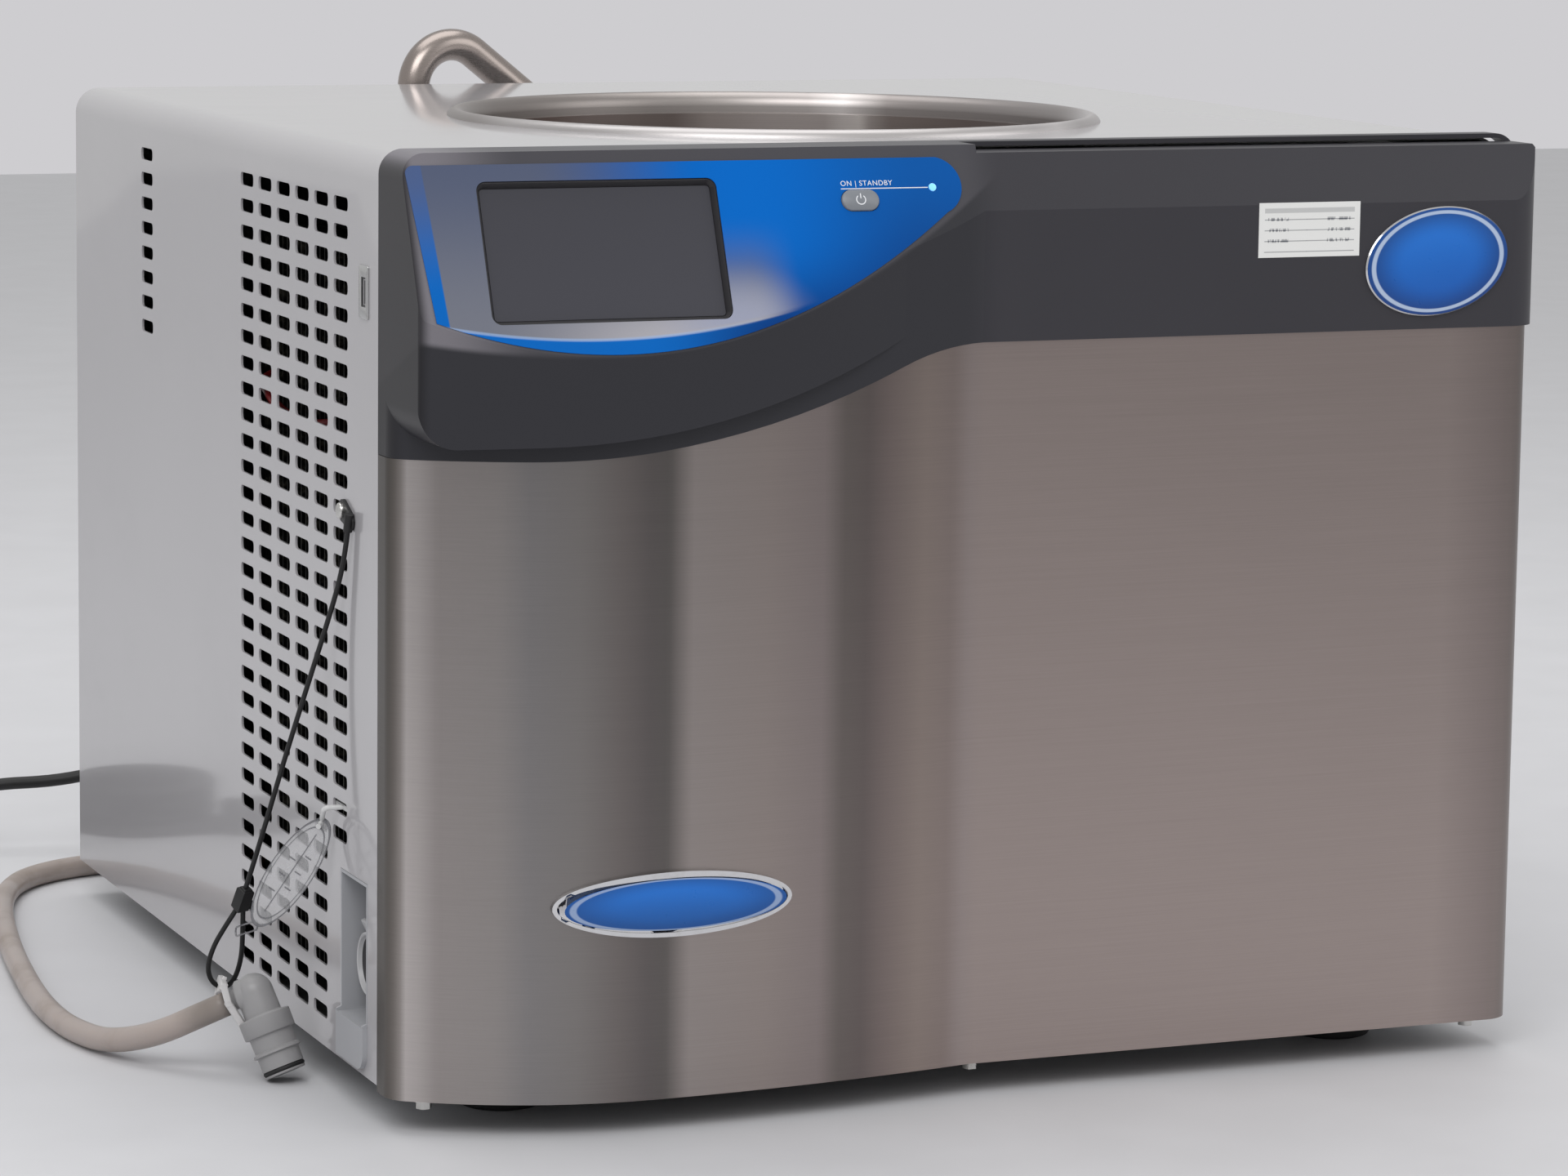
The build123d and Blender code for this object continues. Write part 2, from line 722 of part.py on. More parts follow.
module_margin = 5.0
bevel_run = 1.8
glass_fit = 0.2
collar_top = 0.3
pocket_rise = glass_sink - collar_top
with BuildPart() as display_module:
    with BuildSketch(face_plane.offset(-bezel_wall - seat_gap)):
        with Locations((window_u, window_up)):
            Rectangle(window_w + 2 * module_margin, window_h + 2 * module_margin)
    extrude(amount=-module_t)
    with BuildSketch(face_plane.offset(-bezel_wall - seat_gap)):
        with Locations((window_u, window_up)):
            RectangleRounded(window_w - 2 * seat_gap, window_h - 2 * seat_gap, window_r - seat_gap)
    extrude(amount=bezel_wall + seat_gap - collar_top)
    with BuildSketch(face_plane.offset(-glass_sink)):
        with Locations((window_u, window_up)):
            RectangleRounded(glass_w + 2 * glass_fit, glass_h + 2 * glass_fit, 2.0)
    extrude(amount=-glass_t, mode=Mode.SUBTRACT)
    with BuildSketch(face_plane.offset(-glass_sink)):
        with Locations((window_u, window_up)):
            RectangleRounded(glass_w + 2 * glass_fit, glass_h + 2 * glass_fit, 2.0)
    bevel_taper = -math.degrees(math.atan(bevel_run / pocket_rise))
    extrude(amount=pocket_rise, taper=bevel_taper, mode=Mode.SUBTRACT)
display_module.part.label = "display_module"
export_step(display_module.part, "parts/display_module.step")

with BuildPart() as display_glass:
    with BuildSketch(face_plane.offset(-glass_sink)):
        with Locations((window_u, window_up)):
            RectangleRounded(glass_w, glass_h, 1.8)
    extrude(amount=-glass_t)
display_glass.part.label = "display_glass"
export_step(display_glass.part, "parts/display_glass.step")

button_flange = 1.6
button_flange_t = 1.0
button_stem = 4.6
switch_w = 6.0
board_depth = 7.6
board_t = 1.6
board_span_u = (214.0, 281.0)
board_span_up = (65.0, 92.0)
with BuildPart() as power_button:
    with BuildSketch(face_plane.offset(overlay_t + button_proud)):
        with Locations((button_u, button_up)):
            SlotOverall(button_w, button_h)
    extrude(amount=-(overlay_t + button_proud + button_stem))
    chamfer(power_button.faces().sort_by_distance(face_plane.offset(50).origin)[0].edges(), 0.5)
    with BuildSketch(face_plane.offset(-bezel_wall - seat_gap)):
        with Locations((button_u, button_up)):
            SlotOverall(button_w + 2 * button_flange, button_h + 2 * button_flange)
    extrude(amount=-button_flange_t)
power_button.part.label = "power_button"
export_step(power_button.part, "parts/power_button.step")

with BuildPart() as status_led:
    led_plane = face_plane.shift_origin(face_plane.from_local_coords((led_u, led_up, 0)))
    rod(led_plane, led_r, -board_depth, board_depth + overlay_t)
    rod(led_plane, led_r + 0.6, -board_depth, 1.4)
status_led.part.label = "status_led"
export_step(status_led.part, "parts/status_led.step")

with BuildPart() as control_board:
    board_mid = (sum(board_span_u) / 2, sum(board_span_up) / 2)
    with BuildSketch(face_plane.offset(-board_depth)):
        with Locations(board_mid):
            Rectangle(board_span_u[1] - board_span_u[0], board_span_up[1] - board_span_up[0])
    extrude(amount=-board_t)
    with BuildSketch(face_plane.offset(-board_depth)):
        with Locations((button_u, button_up)):
            Rectangle(switch_w, switch_w)
    extrude(amount=board_depth - button_stem - button_travel - seat_gap)
control_board.part.label = "control_board"
export_step(control_board.part, "parts/control_board.step")

# ---- Badges and label ---------------------------------------------------------------------------
band_front = Plane.XZ.offset(-(y_front - band_reach))
with BuildPart() as product_badge:
    with BuildSketch(band_front):
        with Locations(Location((x_left + badge_u, z_low + badge_z, 0), (0, 0, badge_turn))):
            Ellipse(badge_w / 2, badge_h / 2)
    extrude(amount=badge_t)
    chamfer(product_badge.faces().sort_by(Axis.Y)[0].edges(), 0.7)
product_badge.part.label = "product_badge"
export_step(product_badge.part, "parts/product_badge.step")

with BuildPart() as inspection_label:
    with BuildSketch(band_front):
        with Locations(on_front(label_u, label_z)):
            Rectangle(label_w, label_h)
    extrude(amount=label_t)
inspection_label.part.label = "inspection_label"
export_step(inspection_label.part, "parts/inspection_label.step")


def plate_layer(over, inset):
    """Oval layer bent to the bulge, its outside standing over the steel by the given amount."""
    with BuildPart() as layer:
        with BuildSketch(Plane.XY.offset(z_low + plate_z - plate_h)):
            add(wrap_plan(over, panel_left_r + over, panel_right_r + over, over))
            add(steel_plan, mode=Mode.SUBTRACT)
        extrude(amount=2 * plate_h)
        with BuildSketch(Plane.XZ.offset(-(y_front - flat_reach + 5))):
            with Locations(on_front(plate_u, plate_z)):
                Ellipse(plate_w / 2 - inset, plate_h / 2 - inset)
        extrude(amount=2 * flat_reach, mode=Mode.INTERSECT)
    return layer.part


with BuildPart() as front_badge:
    add(plate_layer(plate_t, 0))
    add(plate_layer(plate_t + 1, plate_rim), mode=Mode.SUBTRACT)
    add(plate_layer(plate_t - 1.0, plate_rim - 0.2))
front_badge.part.label = "front_badge"
export_step(front_badge.part, "parts/front_badge.step")

# ---- USB outlet ---------------------------------------------------------------------------------
socket_wall = 0.6
socket_depth = 16.0
socket_out = 0.4
socket_in = seat_gap + socket_wall
socket_back = 4.0
tongue_t = 1.9
tongue_off = 1.2
tongue_short = 3.0
with BuildPart() as usb_plate:
    with BuildSketch(left_face):
        with Locations(on_left(usb_mid_v, usb_mid_h)):
            RectangleRounded(usb_w, usb_rise, 1.0)
            Rectangle(usb_port_w, usb_port_h, mode=Mode.SUBTRACT)
    extrude(amount=usb_t)
usb_plate.part.label = "usb_plate"
export_step(usb_plate.part, "parts/usb_plate.step")

with BuildPart() as usb_socket:
    with BuildSketch(left_face.offset(socket_out)):
        with Locations(on_left(usb_mid_v, usb_mid_h)):
            Rectangle(usb_port_w - 2 * seat_gap, usb_port_h - 2 * seat_gap)
    extrude(amount=-socket_depth)
    with BuildSketch(left_face.offset(socket_out)):
        with Locations(on_left(usb_mid_v, usb_mid_h)):
            Rectangle(usb_port_w - 2 * socket_in, usb_port_h - 2 * socket_in)
        with Locations(on_left(usb_mid_v - tongue_off, usb_mid_h)):
            Rectangle(tongue_t, usb_port_h - tongue_short, mode=Mode.SUBTRACT)
    extrude(amount=-socket_depth + socket_back, mode=Mode.SUBTRACT)
usb_socket.part.label = "usb_socket"
export_step(usb_socket.part, "parts/usb_socket.step")

# ---- Drain recess, coupling and latch -----------------------------------------------------------
lip_corner_r = 9.0
recess_back_u = recess_d
with BuildPart() as drain_recess:
    pocket_v = (recess_v + seat_gap, recess_v + recess_w - seat_gap)
    pocket_h = (recess_h + seat_gap, recess_h + recess_rise - seat_gap)
    block((-lip_proud, recess_back_u), pocket_v, pocket_h)
    block(
        (-lip_proud - 1, recess_back_u - recess_t),
        (pocket_v[0] + recess_t, pocket_v[1] - recess_t),
        (pocket_h[0] + recess_t, pocket_h[1] - recess_t),
        mode=Mode.SUBTRACT,
    )
    with BuildSketch(left_face):
        with Locations(on_left(recess_mid_v, (lip_h + pocket_h[0] + recess_t) / 2)):
            lip_face = Rectangle(recess_w, pocket_h[0] + recess_t - lip_h)
        fillet(lip_face.vertices().group_by(Axis.Y)[0].sort_by(Axis.X)[-1], lip_corner_r)
    extrude(amount=lip_proud)
    drain_hole_r = 7.0
    drain_way = leftward(recess_back_u + 1, recess_mid_v, coupling_h)
    rod(drain_way, drain_hole_r, 0, 2 * recess_t + 1, Mode.SUBTRACT)
drain_recess.part.label = "drain_recess"
export_step(drain_recess.part, "parts/drain_recess.step")

latch_stem_w = 6.0
latch_stem_d = 4.0
latch_bite = 1.5
latch_pad_l = 9.0
collar_step_l = 8.0
collar_step = 3.0
socket_l = 24.0
drain_way_r = 4.0
stem_fit = 0.3
coupling_face_u = recess_back_u - recess_t - coupling_l
latch_u = coupling_face_u + 6.0
latch_pad_h = coupling_h + coupling_r + latch_travel + 2 * seat_gap
with BuildPart() as drain_coupling:
    back = leftward(recess_back_u - recess_t, recess_mid_v, coupling_h)
    rod(back, coupling_r, 0, coupling_l)
    rod(back, coupling_r + collar_step, 0, collar_step_l)
    rod(back, coupling_bore_r, coupling_l - socket_l, socket_l, Mode.SUBTRACT)
    rod(back, drain_way_r, 0, coupling_l, Mode.SUBTRACT)
    rod(back, drain_hole_r - seat_gap, -recess_t - 2, recess_t + 2)
    rod(back, drain_way_r, -recess_t - 2, recess_t + 2, Mode.SUBTRACT)
    with Locations(at(latch_u, recess_mid_v, coupling_h + coupling_r)):
        Box(
            latch_stem_d + 2 * stem_fit,
            latch_stem_w + 2 * stem_fit,
            2 * (latch_bite + latch_travel + stem_fit),
            mode=Mode.SUBTRACT,
        )
drain_coupling.part.label = "drain_coupling"
export_step(drain_coupling.part, "parts/drain_coupling.step")

with BuildPart() as drain_latch:
    stem_low = coupling_h + coupling_r - latch_bite
    with Locations(at(latch_u, recess_mid_v, stem_low)):
        Box(latch_stem_d, latch_stem_w, latch_pad_h - stem_low + 1, align=base_up)
    with Locations(at(latch_u, recess_mid_v, latch_pad_h)):
        Box(latch_pad_l, latch_w, latch_t, align=base_up)
    fillet(drain_latch.edges().group_by(Axis.Z)[-1], 0.8)
drain_latch.part.label = "drain_latch"
export_step(drain_latch.part, "parts/drain_latch.step")

# ---- Chamber ------------------------------------------------------------------------------------
pot_drop = 8.0
pot_outer_r = collar_bore_r - seat_gap
pot_inner_r = pot_outer_r - pot_t
pot_top_h = shell_h - pot_drop
pot_low_h = pot_top_h - pot_depth
chamber_axis = upright(chamber_u, chamber_v, 0)
port_r = tube_r + tube_fit
tube_inner_v = chamber_v + math.sqrt(pot_inner_r**2 - (chamber_u - tube_u) ** 2) - 4.0
pot_drain_r = 5.0



def cup_form(radius, low_h, height, corner_r):
    """Rod on the chamber's axis with its lower edge rounded."""
    with BuildPart() as form:
        rod(chamber_axis, radius, low_h, height)
        fillet(form.edges().group_by(Axis.Z)[0], corner_r)
    return form.part


with BuildPart() as chamber_collar:
    rod(chamber_axis, collar_flange_r, shell_h, collar_t)
    rod(chamber_axis, collar_bore_r + collar_lip_t, shell_h, collar_lip_h)
    fillet(chamber_collar.edges().group_by(Axis.Z)[-1], 1.9)
    rod(chamber_axis, collar_bore_r + pot_t + pot_step, shell_h - collar_spigot, collar_spigot)
    rod(chamber_axis, collar_bore_r, shell_h - collar_spigot, collar_spigot + collar_lip_h, Mode.SUBTRACT)
chamber_collar.part.label = "chamber_collar"
export_step(chamber_collar.part, "parts/chamber_collar.step")

pot_form = cup_form(pot_outer_r, pot_low_h, pot_depth, pot_corner_r)
pot_hollow = cup_form(pot_inner_r, pot_low_h + pot_t, pot_depth, pot_corner_r - pot_t)
with BuildPart() as collector_pot:
    add(pot_form)
    add(pot_hollow, mode=Mode.SUBTRACT)
    rod(rearward(tube_u, chamber_v, tube_h), port_r, 0, 2 * collar_bore_r, Mode.SUBTRACT)
    rod(chamber_axis, pot_drain_r, pot_low_h - 1, pot_t + 2, Mode.SUBTRACT)
collector_pot.part.label = "collector_pot"
export_step(collector_pot.part, "parts/collector_pot.step")

coil_wall_gap = 7.0
coil_r = pot_inner_r - coil_wall_gap
coil_sides = 36
riser_angle = 205.0
riser_lift = 4.4
with BuildPart() as evaporator_coil:
    for turn in range(coil_turns):
        with BuildSketch(upright(chamber_u, chamber_v, pot_low_h + coil_low + turn * coil_pitch)):
            RegularPolygon(coil_r, coil_sides)
            RegularPolygon(coil_r - coil_bar, coil_sides, mode=Mode.SUBTRACT)
        extrude(amount=coil_bar)
    riser_u = chamber_u + (coil_r - coil_bar / 2) * math.cos(math.radians(riser_angle))
    riser_v = chamber_v + (coil_r - coil_bar / 2) * math.sin(math.radians(riser_angle))
    riser_top = pot_low_h + coil_low + (coil_turns - 1) * coil_pitch + coil_bar
    half_bar = coil_bar / 2
    block(
        (riser_u - half_bar, riser_u + half_bar),
        (riser_v - half_bar, riser_v + half_bar),
        (pot_low_h + pot_t + riser_lift, riser_top),
    )
evaporator_coil.part.label = "evaporator_coil"
export_step(evaporator_coil.part, "parts/evaporator_coil.step")

jacket_r = pot_outer_r + insulation_t
jacket_low_h = pot_low_h - insulation_t
jacket_hollow = cup_form(pot_outer_r + seat_gap, pot_low_h - seat_gap, pot_depth, pot_corner_r)
with BuildPart() as insulation:
    rod(chamber_axis, jacket_r, jacket_low_h, shell_h - collar_spigot - seat_gap - jacket_low_h)
    add(jacket_hollow, mode=Mode.SUBTRACT)
    rod(rearward(tube_u, chamber_v, tube_h), port_r + seat_gap, 0, 2 * collar_bore_r, Mode.SUBTRACT)
    rod(chamber_axis, drain_line_r + seat_gap, jacket_low_h - 1, insulation_t + 2, Mode.SUBTRACT)
insulation.part.label = "insulation"
export_step(insulation.part, "parts/insulation.step")

stand_u = (140.0, 456.0)
stand_v = (84.0, 366.0)
stand_leg = 14.0
with BuildPart() as chamber_stand:
    block(stand_u, stand_v, (jacket_low_h - stand_t, jacket_low_h))
    for leg_u in (stand_u[0], stand_u[1] - stand_leg):
        for leg_v in (stand_v[0], stand_v[1] - stand_leg):
            leg_h = (pan_floor_h, jacket_low_h - stand_t)
            block((leg_u, leg_u + stand_leg), (leg_v, leg_v + stand_leg), leg_h)
    rod(chamber_axis, drain_line_r + 4, jacket_low_h - 2 * stand_t, 3 * stand_t, Mode.SUBTRACT)
chamber_stand.part.label = "chamber_stand"
export_step(chamber_stand.part, "parts/chamber_stand.step")

# ---- Vacuum tube and drain line -----------------------------------------------------------------
leg_v = shell_d + tube_standoff + tube_bend_r
arch_turn = math.pi / 2 + tube_drop
corner_reach = tube_bend_r * math.tan(arch_turn / 2)
corner_h = tube_arch_h + corner_reach
tail_run = corner_reach + tube_tail
tail_end = at(
    tube_u + tail_run * math.cos(tube_drop) * math.cos(tube_swing),
    leg_v + tail_run * math.cos(tube_drop) * math.sin(tube_swing),
    corner_h - tail_run * math.sin(tube_drop),
)
tube_points = [
    at(tube_u, tube_inner_v, tube_h),
    at(tube_u, leg_v, tube_h),
    at(tube_u, leg_v, corner_h),
    tail_end,
]
vacuum_tube = tube_along(tube_points, [tube_bend_r] * 2, tube_r, tube_r - tube_wall)
vacuum_tube.label = "vacuum_tube"
export_step(vacuum_tube, "parts/vacuum_tube.step")

with BuildPart() as vacuum_gland:
    gland_face = rearward(tube_u, rear_face_v, tube_h)
    rod(gland_face, gland_r, 0, gland_t)
    chamfer(vacuum_gland.edges().group_by(Axis.Y)[-1], 1.5)
    rod(gland_face, gland_neck_r - seat_gap, -rear_sheet, rear_sheet)
    rod(gland_face, tube_r + tube_fit, -2 * rear_sheet, gland_t + 3 * rear_sheet, Mode.SUBTRACT)
vacuum_gland.part.label = "vacuum_gland"
export_step(vacuum_gland.part, "parts/vacuum_gland.step")

line_bend_r = 30.0
drain_points = [
    at(chamber_u, chamber_v, pot_low_h),
    at(chamber_u, chamber_v, coupling_h),
    at(chamber_u, recess_mid_v, coupling_h),
    at(recess_back_u + 2.0, recess_mid_v, coupling_h),
]
drain_line = tube_along(drain_points, [line_bend_r] * 2, drain_line_r, drain_line_r - 1.5)
drain_line.label = "drain_line"
export_step(drain_line, "parts/drain_line.step")

# ---- Condenser, shroud, motor and fan -----------------------------------------------------------
condenser_u = (14.0, 14.0 + condenser_t)
condenser_v = (66.0, 66.0 + condenser_w)
condenser_low_h = 30.0
condenser_span_h = (condenser_low_h, condenser_low_h + condenser_h)
fin_inset = 7.0
fan_v = sum(condenser_v) / 2
foot_rail = 8.0
with BuildPart() as condenser_coil:
    block((condenser_u[0] + fin_inset, condenser_u[1] - fin_inset), condenser_v, condenser_span_h)
    fin_pitch = (condenser_w - condenser_fin_t) / (condenser_fins - 1)
    for fin in range(condenser_fins):
        fin_v = condenser_v[0] + fin * fin_pitch
        block(condenser_u, (fin_v, fin_v + condenser_fin_t), condenser_span_h)
    for rail_v in (condenser_v[0], condenser_v[1] - foot_rail):
        block(condenser_u, (rail_v, rail_v + foot_rail), (pan_floor_h, condenser_low_h))
condenser_coil.part.label = "condenser_coil"
export_step(condenser_coil.part, "parts/condenser_coil.step")

fan_axis = Plane(origin=at(condenser_u[1], fan_v, fan_up), x_dir=(0, 1, 0), z_dir=(1, 0, 0))
shroud_from = 2.0
shroud_hole_r = fan_r + 3.0
post = 7.0
post_place = 65.0
motor_from = 32.0
rotor_from = 8.0
with BuildPart() as fan_shroud:
    with BuildSketch(fan_axis.offset(shroud_from)):
        with Locations((0, sum(condenser_span_h) / 2 - fan_up)):
            Rectangle(condenser_w, condenser_h)
        Circle(shroud_hole_r, mode=Mode.SUBTRACT)
    extrude(amount=shroud_t)
    with BuildSketch(fan_axis.offset(shroud_from)):
        with GridLocations(2 * post_place, 2 * post_place, 2, 2):
            Rectangle(post, post)
    extrude(amount=motor_from + motor_l / 2)
    with BuildSketch(fan_axis.offset(motor_from + motor_l / 2 + shroud_from - post)):
        for bar_angle in (45, 135):
            with Locations(Location((0, 0, 0), (0, 0, bar_angle))):
                Rectangle(2 * math.sqrt(2) * post_place + post, post)
        Circle(motor_r, mode=Mode.SUBTRACT)
    extrude(amount=post)
    for rail_v in (condenser_v[0], condenser_v[1] - foot_rail):
        rail_u = condenser_u[1] + shroud_from
        block((rail_u, rail_u + shroud_t), (rail_v, rail_v + foot_rail), (pan_floor_h, condenser_low_h + 1))
fan_shroud.part.label = "fan_shroud"
export_step(fan_shroud.part, "parts/fan_shroud.step")

with BuildPart() as fan_motor:
    rod(fan_axis, motor_r, motor_from, motor_l)
    chamfer(fan_motor.edges().group_by(Axis.X)[-1], 2.0)
    rod(fan_axis, shaft_r + shaft_fit, motor_from - 1, motor_l / 2 + 1, Mode.SUBTRACT)
fan_motor.part.label = "fan_motor"
export_step(fan_motor.part, "parts/fan_motor.step")

blade_w = 52.0
blade_t = 2.4
blade_pitch = 24.0
with BuildPart() as fan_rotor:
    rotor_middle = fan_axis.offset(rotor_from + fan_depth / 2).location
    for blade in range(fan_blades):
        turned = rotor_middle * Location((0, 0, 0), (0, 0, 360 * blade / fan_blades))
        with Locations(turned * Location((fan_r / 2, 0, 0), (blade_pitch, 0, 0))):
            Box(fan_r + 4, blade_w, blade_t)
    rod(fan_axis, fan_r, rotor_from, fan_depth, Mode.INTERSECT)
    rod(fan_axis, fan_hub_r, rotor_from, fan_depth)
    rod(fan_axis, shaft_r, rotor_from, motor_from + motor_l / 2 - 0.5 - rotor_from)
fan_rotor.part.label = "fan_rotor"
export_step(fan_rotor.part, "parts/fan_rotor.step")

# ---- Compressors of the cascade -----------------------------------------------------------------
can_names = ("compressor_high", "compressor_low")
can_places = ((190.0, 452.0), (420.0, 452.0))
can_sizes = ((can_r[0], can_h[0]), (can_r[1], can_h[1]))
can_plate_t = 4.0
mount_r = 10.0
terminal_w = 40.0
for can_name, (can_u, can_v), (radius, height) in zip(can_names, can_places, can_sizes):
    with BuildPart() as can:
        can_axis = upright(can_u, can_v, pan_floor_h)
        rod(can_axis, radius, can_foot_h, height)
        fillet(can.edges().group_by(Axis.Z)[-1], can_round)
        block(
            (can_u - radius, can_u + radius),
            (can_v - radius, can_v + radius),
            (pan_floor_h + can_foot_h - can_plate_t, pan_floor_h + can_foot_h),
        )
        for mount_u in (can_u - radius + mount_r, can_u + radius - mount_r):
            for mount_v in (can_v - radius + mount_r, can_v + radius - mount_r):
                rod(upright(mount_u, mount_v, pan_floor_h), mount_r, 0, can_foot_h - can_plate_t)
        terminal_h = pan_floor_h + can_foot_h + height / 3
        block(
            (can_u - terminal_w / 2, can_u + terminal_w / 2),
            (can_v, can_v + radius + 16),
            (terminal_h, terminal_h + terminal_w),
        )
    can.part.label = can_name
    export_step(can.part, "parts/" + can_name + ".step")

exchanger_u = 425.0
exchanger_v = 150.0
drier_u = 100.0
drier_v = 320.0
drier_low_h = 70.0
liquid_h = 50.0
liquid_bend_r = 14.0
with BuildPart() as heat_exchanger:
    block(
        (exchanger_u - exchanger_w / 2, exchanger_u + exchanger_w / 2),
        (exchanger_v - exchanger_d / 2, exchanger_v + exchanger_d / 2),
        (pan_floor_h, pan_floor_h + exchanger_h),
    )
    chamfer(heat_exchanger.edges().filter_by(Axis.Z), 6.0)
heat_exchanger.part.label = "heat_exchanger"
export_step(heat_exchanger.part, "parts/heat_exchanger.step")

with BuildPart() as filter_drier:
    rod(upright(drier_u, drier_v, drier_low_h), drier_r, 0, drier_l)
    chamfer(filter_drier.edges().filter_by(GeomType.CIRCLE), 5.0)
    rod(upright(drier_u, drier_v, pan_floor_h), drier_r / 2, 0, drier_low_h - pan_floor_h)
    rod(upright(drier_u, drier_v, liquid_h), drier_r / 2 + line_r, -line_r, 2 * line_r)
filter_drier.part.label = "filter_drier"
export_step(filter_drier.part, "parts/filter_drier.step")

liquid_points = [
    at(sum(condenser_u) / 2, condenser_v[1], liquid_h),
    at(sum(condenser_u) / 2, drier_v, liquid_h),
    at(drier_u - drier_r / 2 - line_r, drier_v, liquid_h),
]
liquid_line = tube_along(liquid_points, [liquid_bend_r], line_r)
liquid_line.label = "liquid_line"
export_step(liquid_line, "parts/liquid_line.step")

suction_rise = 26.0
suction_turn_v = 300.0
suction_low_h = 110.0
suction_points = [
    at(can_places[1][0], exchanger_v, pan_floor_h + exchanger_h),
    at(can_places[1][0], exchanger_v, pan_floor_h + exchanger_h + suction_rise),
    at(can_places[1][0], suction_turn_v, pan_floor_h + exchanger_h + suction_rise),
    at(can_places[1][0], suction_turn_v + 40, suction_low_h),
    at(can_places[1][0], can_places[1][1] - can_r[1], suction_low_h),
]
suction_line = tube_along(suction_points, [liquid_bend_r] * 3, line_r)
suction_line.label = "suction_line"
export_step(suction_line, "parts/suction_line.step")

psu_wall_gap = 22.8
psu_u = shell_w - shell_t - psu_wall_gap - psu_w
psu_v = 60.0
with BuildPart() as power_supply:
    block((psu_u, psu_u + psu_w), (psu_v, psu_v + psu_d), (pan_floor_h, pan_floor_h + psu_h))
    chamfer(power_supply.edges().group_by(Axis.Z)[-1], 2.0)
power_supply.part.label = "power_supply"
export_step(power_supply.part, "parts/power_supply.step")

# ---- Power inlet and breaker --------------------------------------------------------------------
flange_over = 4.0
flange_t = 2.0
inlet_bore_w = 27.0
inlet_bore_h = 19.0
nose_fit = 0.3
nose_l = 15.0
with BuildPart() as power_inlet:
    inlet_face = rearward(inlet_u, rear_face_v, inlet_h)
    with BuildSketch(inlet_face):
        RectangleRounded(inlet_w + 2 * flange_over, inlet_rise + 2 * flange_over, 3.0)
    extrude(amount=flange_t)
    with BuildSketch(inlet_face):
        Rectangle(inlet_w, inlet_rise)
    extrude(amount=-inlet_d)
    with BuildSketch(inlet_face.offset(flange_t)):
        RectangleRounded(inlet_bore_w, inlet_bore_h, 2.5)
    extrude(amount=-nose_l - 1, mode=Mode.SUBTRACT)
power_inlet.part.label = "power_inlet"
export_step(power_inlet.part, "parts/power_inlet.step")

rocker_r = 10.5
rocker_clear = 0.3
rocker_past = 12.0
rocker_w = 14.4
rocker_depth = 4.0
pivot_r = 1.5
pivot_fit = 0.05
pivot_end = 0.2
pivot_l = 1.8
rocker_front = 6.0
with BuildPart() as breaker_body:
    breaker_face = rearward(breaker_u, rear_face_v, inlet_h)
    with BuildSketch(breaker_face):
        RectangleRounded(breaker_w + 2 * flange_over, breaker_rise + 2 * flange_over, 3.0)
    extrude(amount=flange_t)
    with BuildSketch(breaker_face):
        Rectangle(breaker_w, breaker_rise)
    extrude(amount=-breaker_d)
    pivot_at = at(breaker_u - breaker_w, rear_face_v - rocker_depth, inlet_h)
    pivot_axis = Plane(origin=pivot_at, x_dir=(0, 1, 0), z_dir=(1, 0, 0))
    side = breaker_w - rocker_w / 2
    rocker_room = rocker_w + 2 * rocker_clear
    pivot_room = rocker_w + 2 * (pivot_l + pivot_end)
    rod(pivot_axis, rocker_r + rocker_clear, side - rocker_clear, rocker_room, Mode.SUBTRACT)
    rod(pivot_axis, pivot_r + pivot_fit, side - pivot_l - pivot_end, pivot_room, Mode.SUBTRACT)
breaker_body.part.label = "breaker_body"
export_step(breaker_body.part, "parts/breaker_body.step")

with BuildPart() as breaker_rocker:
    rise = rocker_front + rocker_r * math.tan(math.radians(rocker_swing / 2))
    tilted_axis = Plane(pivot_axis.offset(side).location * Location((0, 0, 0), (0, 0, -rocker_swing / 2)))
    with BuildSketch(tilted_axis):
        Circle(rocker_r)
        with BuildLine(mode=Mode.PRIVATE) as front_line:
            Polyline(
                (-rocker_past, -rocker_past),
                (rise, -rocker_r),
                (rocker_front, 0),
                (rise, rocker_r),
                (-rocker_past, rocker_past),
                close=True,
            )
        make_face(front_line.edges(), mode=Mode.INTERSECT)
    extrude(amount=rocker_w)
    rod(pivot_axis, pivot_r, side - pivot_l, rocker_w + 2 * pivot_l)
breaker_rocker.part.label = "breaker_rocker"
export_step(breaker_rocker.part, "parts/breaker_rocker.step")

# ---- Lanyard: screw, clip, cable and crimp ------------------------------------------------------
lanyard_route = [
    (-2.6, 40.0, 268.0),
    (-3.2, 44.4, 250.0),
    (-6.5, 60.5, 220.0),
    (-12.0, 80.0, 182.0),
    (-18.5, 97.0, 143.0),
    (-25.5, 111.5, 103.0),
    (-30.5, 124.5, 73.0),
    (-32.9, 129.4, 64.0),
    (-39.1, 135.6, 53.3),
    (-45.3, 141.7, 42.8),
    (-48.4, 147.1, 30.8),
    (-44.3, 147.4, 23.9),
    (-36.9, 145.4, 21.4),
    (-30.4, 142.1, 24.8),
    (-28.0, 137.0, 36.9),
    (-29.1, 132.7, 49.9),
    (-30.1, 128.6, 63.1),
]
lanyard_points = [at(*point) for point in lanyard_route]
lanyard_cable = tube_along(lanyard_points, bend_radii(lanyard_points), lanyard_r)
lanyard_cable.label = "lanyard_cable"
export_step(lanyard_cable, "parts/lanyard_cable.step")

